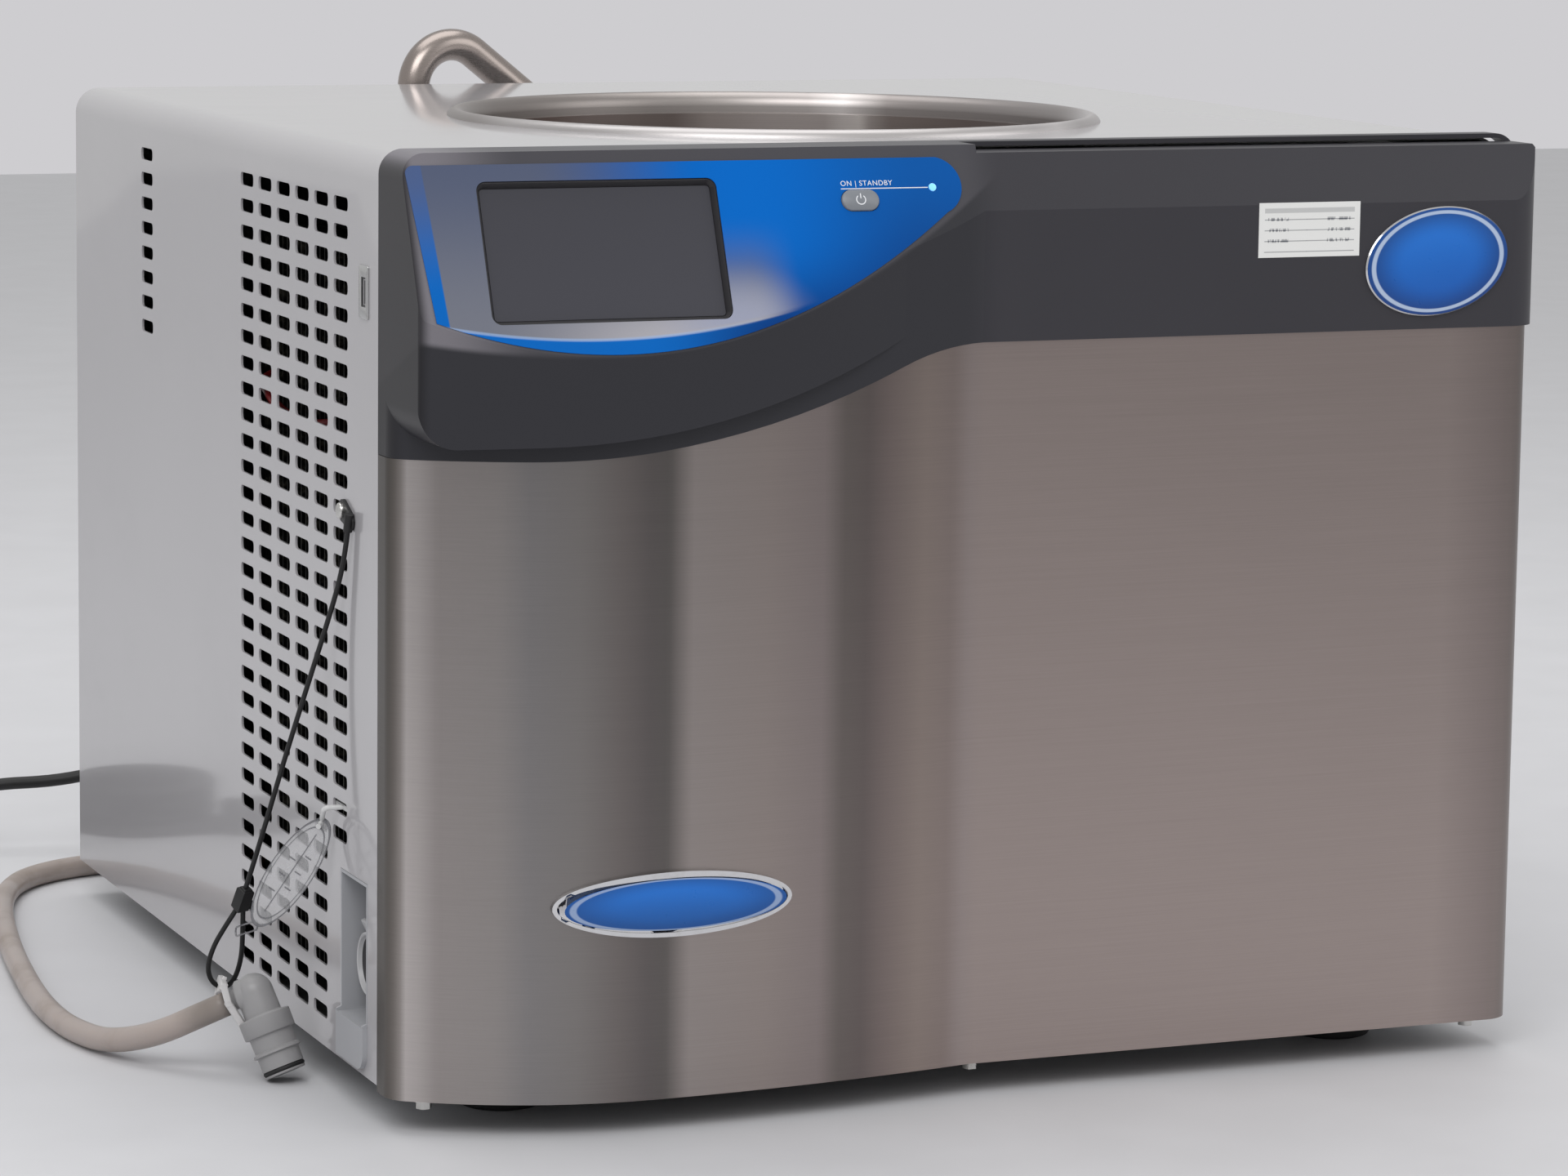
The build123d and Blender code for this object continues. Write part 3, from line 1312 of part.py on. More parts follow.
clip_t = 1.6
clip_eye_r = 5.6
clip_ring_l = 9.0
screw_head_r = 4.0
screw_head_h = 2.4
with BuildPart() as lanyard_clip:
    cable_start = lanyard_route[0]
    with BuildSketch(left_face):
        with Locations(on_left(clip_v, clip_h)):
            Circle(clip_eye_r)
        with Locations(on_left(cable_start[1], cable_start[2] + clip_ring_l / 2)):
            Circle(clip_eye_r - 1.4)
        make_hull()
        with Locations(on_left(clip_v, clip_h)):
            Circle(clip_screw_r + screw_fit, mode=Mode.SUBTRACT)
    extrude(amount=clip_t)
    cable_away = Vector(*lanyard_points[0]) - Vector(*lanyard_points[1])
    ring_plane = Plane(origin=lanyard_points[0], z_dir=cable_away)
    rod(ring_plane, -cable_start[0] - seat_gap, 0, clip_ring_l)
lanyard_clip.part.label = "lanyard_clip"
export_step(lanyard_clip.part, "parts/lanyard_clip.step")

with BuildPart() as lanyard_screw:
    screw_seat = leftward(-clip_t, clip_v, clip_h)
    rod(screw_seat, screw_head_r, 0, screw_head_h)
    fillet(lanyard_screw.edges().group_by(Axis.X)[0], 1.4)
    rod(screw_seat, clip_screw_r, -3 * clip_t - shell_t, 3 * clip_t + shell_t)
    rod(screw_seat, clip_screw_r + 1.0, -clip_t - shell_t - 3.0, 3.0 - seat_gap)
lanyard_screw.part.label = "lanyard_screw"
export_step(lanyard_screw.part, "parts/lanyard_screw.step")

crimp_r = 3.5
crimp_from = Vector(*lanyard_points[6])
crimp_to = Vector(*at(-31.5, 129.0, 63.5))
with BuildPart() as lanyard_crimp:
    crimp_plane = Plane(origin=crimp_from, z_dir=crimp_to - crimp_from)
    rod(crimp_plane, crimp_r, -2.0, (crimp_to - crimp_from).length + 2.0)
    chamfer(lanyard_crimp.edges(), 0.6)
lanyard_crimp.part.label = "lanyard_crimp"
export_step(lanyard_crimp.part, "parts/lanyard_crimp.step")

# ---- Drain plug: elbow coupling that hangs from the lanyard, its nose on the bench ---------------
elbow = (-37.0, 117.0, 33.0)
nose_way = Vector(0.358, -0.338, -0.872).normalized()
outlet_way = Vector(-0.661, 0.567, -0.491).normalized()
tab_hole = (-40.9, 146.8, 21.3)
tab_across = Vector(0.914, -0.259, -0.312).normalized()
elbow_r = 9.5
nose_r = 10.2
nose_end = 54.5
nose_bore_r = 6.0
groove_at = 47.0
groove_l = 3.0
groove_floor_r = 8.6
oring_r = 1.3
outlet_reach = 19.7
plug_steps = (
    (10.4, 0.0, 14.0),
    (16.0, 14.0, 4.0),
    (12.6, 18.0, 11.0),
    (14.2, 29.0, 3.5),
    (nose_r, 32.5, 22.0),
)
barb_steps = ((9.0, 0.0, 13.0), (7.2, 13.0, outlet_reach - 13.0))
tab_t = 2.2
tab_w = 12.0
tab_l = 29.0
tab_hole_r = 3.2
elbow_at = Vector(*at(*elbow))
nose_plane = Plane(origin=elbow_at, z_dir=nose_way)
outlet_plane = Plane(origin=elbow_at, z_dir=outlet_way)
with BuildPart() as groove_form:
    rod(nose_plane, nose_r + 2, groove_at - groove_l / 2, groove_l)
    rod(nose_plane, groove_floor_r, groove_at - groove_l / 2, groove_l, Mode.SUBTRACT)
with BuildPart() as drain_plug:
    with Locations(elbow_at):
        Sphere(elbow_r)
    for step_r, step_from, step_l in plug_steps:
        rod(nose_plane, step_r, step_from, step_l)
    for step_r, step_from, step_l in barb_steps:
        rod(outlet_plane, step_r, step_from, step_l)
    add(groove_form.part, mode=Mode.SUBTRACT)
    rod(nose_plane, nose_bore_r, 0, nose_end + 1, Mode.SUBTRACT)
    tab_at = Vector(*at(*tab_hole))
    toward = elbow_at - tab_at
    tab_way = (toward - tab_across * toward.dot(tab_across)).normalized()
    with BuildSketch(Plane(origin=tab_at, x_dir=tab_way, z_dir=tab_across)):
        Circle(tab_w / 2 + 0.5)
        with Locations((tab_l / 2, 0)):
            Rectangle(tab_l, tab_w)
        Circle(tab_hole_r, mode=Mode.SUBTRACT)
    extrude(amount=tab_t / 2, both=True)
drain_plug.part.label = "drain_plug"
export_step(drain_plug.part, "parts/drain_plug.step")

with BuildPart() as drain_plug_oring:
    with Locations(nose_plane.offset(groove_at).location):
        Torus(groove_floor_r + oring_r, oring_r)
drain_plug_oring.part.label = "drain_plug_oring"
export_step(drain_plug_oring.part, "parts/drain_plug_oring.step")

# ---- Drain hose, from the elbow's barb round to the back ----------------------------------------
hose_lie = hose_r - foot_h + 0.05
hose_route = [
    (-50.2, 128.3, 23.2),
    (-66.0, 142.0, 11.3),
    (-81.0, 160.0, 0.5),
    (-92.0, 184.0, -8.5),
    (-98.0, 215.0, hose_lie),
    (-99.0, 255.0, hose_lie),
    (-96.0, 300.0, hose_lie),
    (-90.0, 350.0, hose_lie),
    (-83.0, 402.0, hose_lie),
    (-74.0, 455.0, hose_lie),
    (-64.0, 505.0, hose_lie),
    (-52.0, 550.0, hose_lie),
    (-33.0, 590.0, hose_lie),
    (-2.0, 615.0, hose_lie),
    (38.0, 625.0, hose_lie),
    (80.0, 622.0, hose_lie),
    (118.0, 611.0, hose_lie),
    (156.0, 602.0, hose_lie),
    (196.0, 599.0, hose_lie),
]
hose_points = [at(*point) for point in hose_route]
drain_hose = tube_along(hose_points, bend_radii(hose_points), hose_r)
drain_hose.label = "drain_hose"
export_step(drain_hose, "parts/drain_hose.step")

# ---- Clear tag and its strap --------------------------------------------------------------------
tag_middle = (-22.0, 79.0, 91.0)
tag_long = Vector(-0.425, 0.372, -0.824).normalized()
tag_face = Vector(-0.515, -0.849, -0.116).normalized()
tag_l = 75.0
tag_w = 35.0
tag_t = 0.8
tag_hole_r = 3.0
tag_hole_in = 5.5
with BuildPart() as tag:
    tag_plane = Plane(origin=at(*tag_middle), x_dir=tag_long, z_dir=tag_face)
    with BuildSketch(tag_plane):
        Ellipse(tag_l / 2, tag_w / 2)
        with Locations((tag_hole_in - tag_l / 2, 0)):
            Circle(tag_hole_r, mode=Mode.SUBTRACT)
    extrude(amount=tag_t)
tag.part.label = "tag"
export_step(tag.part, "parts/tag.step")

strap_r = 1.3
strap_bar = 26.0
strap_slot_v = slot_first_v - slot_pitch_v * slot_columns
strap_slot_h = slot_first_h - slot_pitch_h * 22
strap_eye = tag_plane.from_local_coords((tag_hole_in - tag_l / 2, 0, 0))
strap_points = [
    at(shell_t + strap_r, strap_slot_v, strap_slot_h),
    at(-8.0, strap_slot_v + 1.0, strap_slot_h),
    tuple(strap_eye - tag_face * 3),
    tuple(strap_eye + tag_face * 3),
]
with BuildPart() as tag_strap:
    add(tube_along(strap_points, [2.5, 2.0], strap_r))
    with Locations(at(shell_t + seat_gap + strap_r, strap_slot_v, strap_slot_h)):
        Box(2 * strap_r, strap_bar, 2 * strap_r)
tag_strap.part.label = "tag_strap"
export_step(tag_strap.part, "parts/tag_strap.step")

# ---- Mains cord: connector, free run, coil and plug ----------------------------------------------
nose_back_v = rear_face_v + flange_t
connector_w = 30.0
connector_h = 23.0
connector_l = 38.0
relief_l = 62.0 - connector_l
with BuildPart() as power_connector:
    connector_face = rearward(inlet_u, nose_back_v, inlet_h)
    with BuildSketch(connector_face.offset(seat_gap)):
        RectangleRounded(connector_w, connector_h, 5.0)
    extrude(amount=connector_l)
    fillet(power_connector.edges().group_by(Axis.Y)[-1], 3.0)
    with BuildSketch(connector_face.offset(seat_gap)):
        RectangleRounded(inlet_bore_w - 2 * nose_fit, inlet_bore_h - 2 * nose_fit, 2.2)
    extrude(amount=-nose_l)
    with Locations(connector_face.offset(connector_l).location):
        Cone(7.0, cord_r + 1.2, relief_l, align=base_up)
power_connector.part.label = "power_connector"
export_step(power_connector.part, "parts/power_connector.step")

cord_route = [
    (72.0, 636.6, 42.0),
    (72.0, 662.0, 40.0),
    (56.0, 688.0, 32.0),
    (20.0, 702.0, 22.5),
    (-22.0, 708.0, 22.0),
    (-48.0, 715.0, 14.0),
    (-62.0, 719.0, 8.2),
]
cord_points = [at(*point) for point in cord_route]
power_cord = tube_along(cord_points, bend_radii(cord_points), cord_r)
power_cord.label = "power_cord"
export_step(power_cord, "parts/power_cord.step")

cord_coil_r = 41.0
cord_coil_columns = 2
cord_coil_layers = 4
cord_coil_place = (-88.0, 719.0 + cord_coil_r + cord_r)
coil_half_w = cord_coil_columns * cord_r
with BuildPart() as power_cord_coil:
    coil_axis = upright(cord_coil_place[0], cord_coil_place[1], -foot_h)
    rod(coil_axis, cord_coil_r + coil_half_w, 0, cord_coil_layers * 2 * cord_r)
    rod(coil_axis, cord_coil_r - coil_half_w, 0, cord_coil_layers * 2 * cord_r, Mode.SUBTRACT)
power_cord_coil.part.label = "power_cord_coil"
export_step(power_cord_coil.part, "parts/power_cord_coil.step")

plug_w = 28.0
plug_h = 20.0
plug_l = 36.0
neck_r = 5.5
neck_l = 14.0
pin_l = 17.5
pin_w = 6.4
pin_t = 1.6
pin_apart = 12.7
neck_from_u = cord_coil_place[0] - 30.0
plug_v = cord_coil_place[1] - cord_coil_r - cord_r
with BuildPart() as power_plug:
    plug_back = leftward(neck_from_u, plug_v, neck_r - foot_h)
    rod(plug_back, neck_r, 0, neck_l)
    block(
        (neck_from_u - neck_l - plug_l, neck_from_u - neck_l),
        (plug_v - plug_w / 2, plug_v + plug_w / 2),
        (-foot_h, plug_h - foot_h),
    )
    fillet(power_plug.edges().filter_by(Axis.X), 4.0)
    pin_from_u = neck_from_u - neck_l - plug_l
    for pin_v in (plug_v - pin_apart / 2, plug_v + pin_apart / 2):
        block(
            (pin_from_u - pin_l, pin_from_u),
            (pin_v - pin_t / 2, pin_v + pin_t / 2),
            (plug_h / 2 - foot_h - pin_w / 2, plug_h / 2 - foot_h + pin_w / 2),
        )
power_plug.part.label = "power_plug"
export_step(power_plug.part, "parts/power_plug.step")

for cord_name, points in (("lanyard", lanyard_points), ("hose", hose_points), ("cord", cord_points)):
    print(cord_name, [round(radius, 1) for radius in bend_radii(points)])
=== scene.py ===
"""Looks of a benchtop freeze dryer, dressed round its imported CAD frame."""

import logging
import math
from dataclasses import dataclass, field
from enum import Enum
from typing import Dict, Iterable, List, Sequence, Tuple, Union

import bmesh
import bpy
from mathutils import Matrix, Vector


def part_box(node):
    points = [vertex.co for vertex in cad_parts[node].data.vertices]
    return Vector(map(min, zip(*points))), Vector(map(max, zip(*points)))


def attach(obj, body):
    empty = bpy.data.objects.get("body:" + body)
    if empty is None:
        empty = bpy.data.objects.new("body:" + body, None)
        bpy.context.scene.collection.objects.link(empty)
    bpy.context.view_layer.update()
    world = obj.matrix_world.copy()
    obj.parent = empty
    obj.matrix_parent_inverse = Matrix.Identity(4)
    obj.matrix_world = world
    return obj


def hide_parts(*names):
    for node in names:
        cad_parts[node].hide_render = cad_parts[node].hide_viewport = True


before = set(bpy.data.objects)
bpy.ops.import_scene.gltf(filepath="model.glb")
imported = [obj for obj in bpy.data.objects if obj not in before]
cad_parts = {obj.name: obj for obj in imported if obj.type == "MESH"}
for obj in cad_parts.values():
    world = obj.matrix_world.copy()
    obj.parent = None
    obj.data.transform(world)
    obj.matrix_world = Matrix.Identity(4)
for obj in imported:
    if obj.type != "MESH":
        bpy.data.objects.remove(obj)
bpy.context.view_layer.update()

LOG = logging.getLogger("freeze_dryer")
MM = 0.001
Colour = Tuple[float, float, float]
Place = Tuple[float, float, float]
Span = Tuple[float, float]
# Stops of painted reflection stripes: place and colour.
PaintedReflectionBands = Tuple[Tuple[float, Tuple[int, int, int]], ...]


class Body(str, Enum):
    """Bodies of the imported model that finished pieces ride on."""

    MACHINE = "machine"
    BUTTON = "button"
    LATCH = "latch"


class Grain(Enum):
    """Lines per metre each way of a brushed metal's grain."""

    ACROSS = (9.0, 60.0, 1500.0)
    TOP = (9.0, 1500.0, 1500.0)


# ---- Places --------------------------------------------------------------------------------------
def turned(across: Vector, over: Vector, out: Vector) -> Matrix:
    """Gives the turn whose X, Y and Z axes are three directions."""
    return Matrix((across, over, out)).transposed().to_4x4()


def stand(place: Vector, way: Vector) -> Matrix:
    """Gives a place whose Z axis points along a way."""
    return Matrix.Translation(place) @ way.to_track_quat("Z", "Y").to_matrix().to_4x4()


def unit(*parts: float) -> Vector:
    """Gives a direction of length 1."""
    return Vector(parts).normalized()


@dataclass(frozen=True)
class Cabinet:
    """Places measured in millimetres from the shell's front lower left corner."""

    corner: Vector

    def at(self, u: float, v: float, h: float) -> Vector:
        """Gives a model point.

        Args:
            u: Distance to the right.
            v: Distance to the back.
            h: Height above the shell's lower edge.

        Returns:
            The point in metres.
        """
        return self.corner + Vector((u, v, h)) * MM

    def face(self, u: float, up: float, out: float = 0.0) -> Vector:
        """Gives a point on the tilted control face.

        Args:
            u: Distance to the right of the shell's left side.
            up: Distance up the face from its crease at the pad's foremost point.
            out: Distance above the moulding's surface.

        Returns:
            The point in metres.
        """
        rise = FACE_UP * up + FACE_OUT * out
        return self.at(u, FACE_V, FACE_H) + rise * MM

    def face_matrix(self, u: float, up: float, out: float = 0.0) -> Matrix:
        """Gives the matrix that stands a flat form on the control face.

        Args:
            u: Distance to the right of the shell's left side.
            up: Distance up the face.
            out: Distance above the moulding's surface.

        Returns:
            A matrix whose Z axis leaves the face.
        """
        return Matrix.Translation(self.face(u, up, out)) @ turned(Vector((1, 0, 0)), FACE_UP, FACE_OUT)


FACE_TILT = math.radians(22.5)
FACE_UP = Vector((0.0, math.sin(FACE_TILT), math.cos(FACE_TILT)))
FACE_OUT = Vector((0.0, -math.cos(FACE_TILT), math.sin(FACE_TILT)))
FACE_V = -72.0
FACE_H = 362.0
DECK_H = 455.0
CHAMBER_AXIS: Span = (298.0, 234.0)
CAB = Cabinet(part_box("cabinet_shell")[0])


def linear(red: float, green: float, blue: float) -> Tuple[float, float, float, float]:
    """Turns a colour written as 0 to 255 into the shader's linear values.

    Args:
        red: Red as displayed.
        green: Green as displayed.
        blue: Blue as displayed.

    Returns:
        Linear red, green and blue with an alpha of 1.
    """
    parts = [value / 255.0 for value in (red, green, blue)]
    low = [part / 12.92 if part <= 0.04045 else ((part + 0.055) / 1.055) ** 2.4 for part in parts]
    return (low[0], low[1], low[2], 1.0)


# ---- Shader maths --------------------------------------------------------------------------------
class Sock:
    """A shader socket that takes part in arithmetic."""

    def __init__(self, shader: "Shader", socket: bpy.types.NodeSocket) -> None:
        """Keeps the socket and the shader that owns it."""
        self.shader = shader
        self.socket = socket

    def _math(self, operation: str, first: "Value", second: "Value") -> "Sock":
        """Adds one Math node and returns its result."""
        return self.shader.value("Math", {"operation": operation}, {0: first, 1: second})

    def __add__(self, other: "Value") -> "Sock":
        """Adds."""
        return self._math("ADD", self, other)

    def __radd__(self, other: "Value") -> "Sock":
        """Adds to a number."""
        return self._math("ADD", other, self)

    def __sub__(self, other: "Value") -> "Sock":
        """Subtracts."""
        return self._math("SUBTRACT", self, other)

    def __rsub__(self, other: "Value") -> "Sock":
        """Subtracts from a number."""
        return self._math("SUBTRACT", other, self)

    def __mul__(self, other: "Value") -> "Sock":
        """Multiplies."""
        return self._math("MULTIPLY", self, other)

    def __rmul__(self, other: "Value") -> "Sock":
        """Multiplies a number."""
        return self._math("MULTIPLY", other, self)

    def __truediv__(self, other: "Value") -> "Sock":
        """Divides."""
        return self._math("DIVIDE", self, other)

    def __pow__(self, other: "Value") -> "Sock":
        """Raises to a power."""
        return self._math("POWER", self, other)

    def size(self) -> "Sock":
        """Gives the absolute value."""
        return self._math("ABSOLUTE", self, 0.0)

    def wrapped(self, length: float) -> "Sock":
        """Repeats the value from 0 up to a length."""
        return self._math("FLOORED_MODULO", self, length)

    def larger(self, other: "Value") -> "Sock":
        """Gives the larger of the two values."""
        return self._math("MAXIMUM", self, other)

    def step(self, low: float, high: float) -> "Sock":
        """Gives a soft step.

        Args:
            low: Value at which the step is 0.
            high: Value at which the step is 1.

        Returns:
            The step, from 0 to 1.
        """
        inputs = {0: self, 1: low, 2: high, 3: 0.0, 4: 1.0}
        return self.shader.value("MapRange", {"interpolation_type": "SMOOTHSTEP"}, inputs)

    def drop(self, low: float, high: float) -> "Sock":
        """Gives the step's opposite, 1 below the low value and 0 above the high one."""
        return 1.0 - self.step(low, high)

    def within(self, low: float, high: float, soft: float) -> "Sock":
        """Gives 1 between two values, with a soft edge inside each."""
        return self.step(low, low + soft) * self.drop(high - soft, high)


Value = Union[Sock, float, Sequence[float]]


class Shader:
    """One material's node tree and the calls that fill it."""

    def __init__(self, name: str) -> None:
        """Starts a material with one Principled shader.

        Args:
            name: Name of the material.
        """
        self.material = bpy.data.materials.new(name)
        self.material.use_nodes = True
        self.tree = self.material.node_tree
        self.tree.nodes.clear()
        self.output = self.tree.nodes.new("ShaderNodeOutputMaterial")
        self.skin = self.tree.nodes.new("ShaderNodeBsdfPrincipled")
        self.tree.links.new(self.skin.outputs[0], self.output.inputs[0])

    def feed(self, socket: bpy.types.NodeSocket, value: Value) -> None:
        """Links a socket or sets its value.

        Args:
            socket: Input to feed.
            value: Another socket, or what to set.
        """
        if isinstance(value, Sock):
            self.tree.links.new(value.socket, socket)
        else:
            socket.default_value = value

    def node(self, kind: str, settings: Dict[str, object], inputs: Dict) -> bpy.types.Node:
        """Adds any node.

        Args:
            kind: Node type without its prefix.
            settings: Values of the node's own options, or a ramp's stops.
            inputs: Values or links of its sockets, by name or number.

        Returns:
            The node.
        """
        node = self.tree.nodes.new("ShaderNode" + kind)
        for key, value in settings.items():
            if key == "stops":
                ramp = node.color_ramp
                for place, colour in value[1:-1]:
                    ramp.elements.new(place).color = colour
                ramp.elements[0].position, ramp.elements[0].color = value[0]
                ramp.elements[-1].position, ramp.elements[-1].color = value[-1]
            else:
                setattr(node, key, value)
        for key, value in inputs.items():
            self.feed(node.inputs[key], value)
        return node

    def value(self, kind: str, settings: Dict[str, object], inputs: Dict, out: int = 0) -> Sock:
        """Adds a node and returns one of its results."""
        return Sock(self, self.node(kind, settings, inputs).outputs[out])

    def place(self) -> Sock:
        """Gives the object coordinates."""
        return self.value("TexCoord", {}, {}, 3)

    def axes(self) -> Tuple[Sock, Sock, Sock]:
        """Gives the object coordinates as three numbers."""
        parts = self.node("SeparateXYZ", {}, {0: self.place()})
        return Sock(self, parts.outputs[0]), Sock(self, parts.outputs[1]), Sock(self, parts.outputs[2])

    def on_face(self) -> Tuple[Sock, Sock]:
        """Gives the place on the control face in millimetres, to the right and up it."""
        across, deep, up = self.axes()
        origin = CAB.face(0.0, 0.0)
        rise = ((deep - origin.y) * FACE_UP.y + (up - origin.z) * FACE_UP.z) / MM
        return (across - origin.x) / MM, rise

    def on_front(self, left: float, low: float) -> Tuple[Sock, Sock]:
        """Gives the place on an upright front in millimetres, to the right and up from a point."""
        across, _, up = self.axes()
        corner = CAB.at(left, 0.0, low)
        return (across - corner.x) / MM, (up - corner.z) / MM

    def noise(self, scale: Sequence[float], detail: float = 2.0, rough: float = 0.5) -> Sock:
        """Gives a noise on object coordinates.

        Args:
            scale: Features per metre each way.
            detail: Octaves.
            rough: Strength of the finer octaves.

        Returns:
            The noise, about 0 to 1.
        """
        place = self.value("Mapping", {}, {"Vector": self.place(), "Scale": scale})
        inputs = {"Vector": place, "Scale": 1.0, "Detail": detail, "Roughness": rough}
        return self.value("TexNoise", {}, inputs)

    def mix(self, factor: Value, first: Value, second: Value) -> Sock:
        """Mixes two colours."""
        inputs = {0: factor, 6: first, 7: second}
        return self.value("Mix", {"data_type": "RGBA"}, inputs, 2)

    def ramp(self, factor: Sock, stops: Sequence[Tuple[float, Sequence[float]]]) -> Sock:
        """Reads a colour ramp."""
        return self.value("ValToRGB", {"stops": stops}, {0: factor})

    def shade(self, colour: Value, amount: Sock) -> Sock:
        """Scales a colour by a number."""
        plain = colour if isinstance(colour, Sock) else colour[:3]
        return self.value("VectorMath", {"operation": "SCALE"}, {0: plain, 3: amount})

    def bump(self, height: Sock, strength: float, distance: float) -> Sock:
        """Turns a height into a normal."""
        return self.value("Bump", {}, {"Strength": strength, "Distance": distance, "Height": height})

    def finish(self, **inputs: Value) -> bpy.types.Material:
        """Feeds the Principled shader.

        Args:
            **inputs: Socket names with underscores for spaces.

        Returns:
            The material.
        """
        for key, value in inputs.items():
            self.feed(self.skin.inputs[key.replace("_", " ")], value)
        return self.material


# ---- Finishes ------------------------------------------------------------------------------------
@dataclass(frozen=True)
class Finish:
    """A surface finish, made into a material once."""

    name: str

    def paint(self, shader: Shader) -> None:
        """Fills the shader with plain grey."""
        shader.finish(Base_Color=linear(128, 128, 128))

    def material(self) -> bpy.types.Material:
        """Gives the material, made at the first call."""
        name = "finish_" + self.name
        known = bpy.data.materials.get(name)
        if known is not None:
            return known
        shader = Shader(name)
        self.paint(shader)
        return shader.material


@dataclass(frozen=True)
class GlossPaint(Finish):
    """Sprayed enamel with a faint orange peel."""

    colour: Colour = (172, 170, 173)
    rough: float = 0.3
    coat: float = 0.9

    def paint(self, shader: Shader) -> None:
        """Paints with a soft mottle, handling haze and peel."""
        mottle = shader.noise((7.0, 7.0, 7.0), 3.0)
        peel = shader.noise((420.0, 420.0, 420.0), 2.0)
        haze = shader.noise((3.0, 5.0, 9.0), 4.0, 0.6)
        colour = shader.shade(linear(*self.colour), 0.97 + 0.06 * mottle)
        shader.finish(
            Base_Color=colour,
            Roughness=self.rough + 0.12 * haze.step(0.45, 0.8),
            Coat_Weight=self.coat,
            Coat_Roughness=0.07,
            Normal=shader.bump(peel, 0.03, 0.0003),
        )


@dataclass(frozen=True)
class BrushedSteel(Finish):
    """Stainless steel with drawn grain."""

    colour: Colour = (150, 142, 136)
    grain: Grain = Grain.ACROSS
    rough: float = 0.3
    painted_reflection_bands: PaintedReflectionBands = ()
    # Share of painted shade by height.
    painted_shade_by_height: float = 0.0
    height: float = 0.366

    def paint(self, shader: Shader) -> None:
        """Paints with fine lines, a slow mottle, painted reflection stripes across the front and painted
        shade by height.
        """
        lines = shader.noise(self.grain.value, 3.0, 0.7)
        fine = shader.noise([value * 2.6 for value in self.grain.value], 2.0, 0.6)
        cloud = shader.noise((4.0, 4.0, 5.0), 3.0)
        tone = 0.86 + 0.16 * lines + 0.08 * fine + 0.06 * cloud
        base: Value = linear(*self.colour)
        # Painted reflections: pale and dark stripes by place across the front stand in for the room reflected
        # in the steel.
        if self.painted_reflection_bands:
            across, _, up = shader.axes()
            length = self.painted_reflection_bands[-1][0]
            along = (across - CAB.corner.x) / (length * MM)
            stops = [(place / length, linear(*colour)) for place, colour in self.painted_reflection_bands]
            base = shader.ramp(along, stops)
            # Painted shade: the steel is lightened at the top and darkened towards the bottom.
            tone = tone * (1.0 + self.painted_shade_by_height * (0.5 - (up - CAB.corner.z) / self.height))
        shader.finish(
            Base_Color=shader.shade(base, tone),
            Metallic=1.0,
            Roughness=self.rough + 0.14 * (lines - 0.5) + 0.05 * cloud,
            Normal=shader.bump(lines + 0.5 * fine, 0.05, 0.0002),
        )


@dataclass(frozen=True)
class SpunSteel(Finish):
    """Stainless steel drawn round the chamber's axis, with painted reflection stripes of the room by angle.
    """

    rough: float = 0.3
    # Share of painted highlight on the near half.
    near: float = 0.0
    painted_reflection_bands: PaintedReflectionBands = (
        (0.0, (166, 160, 158)),
        (0.07, (160, 152, 150)),
        (0.14, (146, 135, 132)),
        (0.245, (150, 140, 136)),
        (0.268, (180, 172, 169)),
        (0.28, (226, 220, 216)),
        (0.3, (214, 208, 205)),
        (0.32, (188, 180, 177)),
        (0.38, (186, 178, 175)),
        (0.45, (172, 163, 159)),
        (0.49, (132, 122, 118)),
        (0.6, (134, 123, 119)),
        (0.66, (126, 112, 107)),
        (0.76, (138, 127, 122)),
        (0.88, (160, 152, 149)),
        (1.0, (172, 166, 163)),
    )

    def paint(self, shader: Shader) -> None:
        """Paints with lines that run round the axis, painted reflection stripes by angle and a painted
        highlight on the near half.
        """
        across, deep, up = shader.axes()
        middle = CAB.at(*CHAMBER_AXIS, 0.0)
        offset = shader.value("CombineXYZ", {}, {0: across - middle.x, 1: deep - middle.y})
        away = shader.value("VectorMath", {"operation": "LENGTH"}, {0: offset}, 1)
        rings = shader.value("CombineXYZ", {}, {0: away, 1: 0.0, 2: up})
        inputs = {"Vector": rings, "Scale": 1500.0, "Detail": 3.0, "Roughness": 0.7}
        lines = shader.value("TexNoise", {}, inputs)
        cloud = shader.noise((9.0, 9.0, 12.0), 3.0)
        tone = 0.94 + 0.22 * lines + 0.12 * cloud
        # Painted reflections: stripes by angle round the axis stand in for the room reflected in the steel.
        turn = shader.value("Math", {"operation": "ARCTAN2"}, {0: deep - middle.y, 1: across - middle.x})
        stops = [(place, linear(*colour)) for place, colour in self.painted_reflection_bands]
        base = shader.ramp(turn.size() / math.pi, stops)
        # Painted highlight: the near half is mixed towards pale grey.
        base = shader.mix((middle.y - deep).step(0.0, 0.06) * self.near, base, linear(214, 212, 213))
        shader.finish(
            Base_Color=shader.shade(base, tone),
            Metallic=1.0,
            Roughness=self.rough + 0.12 * lines,
            Normal=shader.bump(lines, 0.05, 0.0002),
        )


@dataclass(frozen=True)
class Plated(Finish):
    """Smooth plated or cast metal."""

    colour: Colour = (205, 204, 200)
    rough: float = 0.2
    stain: Colour = (150, 145, 130)
    stained: float = 0.4

    def paint(self, shader: Shader) -> None:
        """Paints with faint stains."""
        cloud = shader.noise((160.0, 160.0, 160.0), 3.0, 0.6)
        amount = self.stained * cloud.step(0.45, 0.75)
        shader.finish(
            Base_Color=shader.mix(amount, linear(*self.colour), linear(*self.stain)),
            Metallic=1.0,
            Roughness=self.rough + 0.2 * amount,
        )


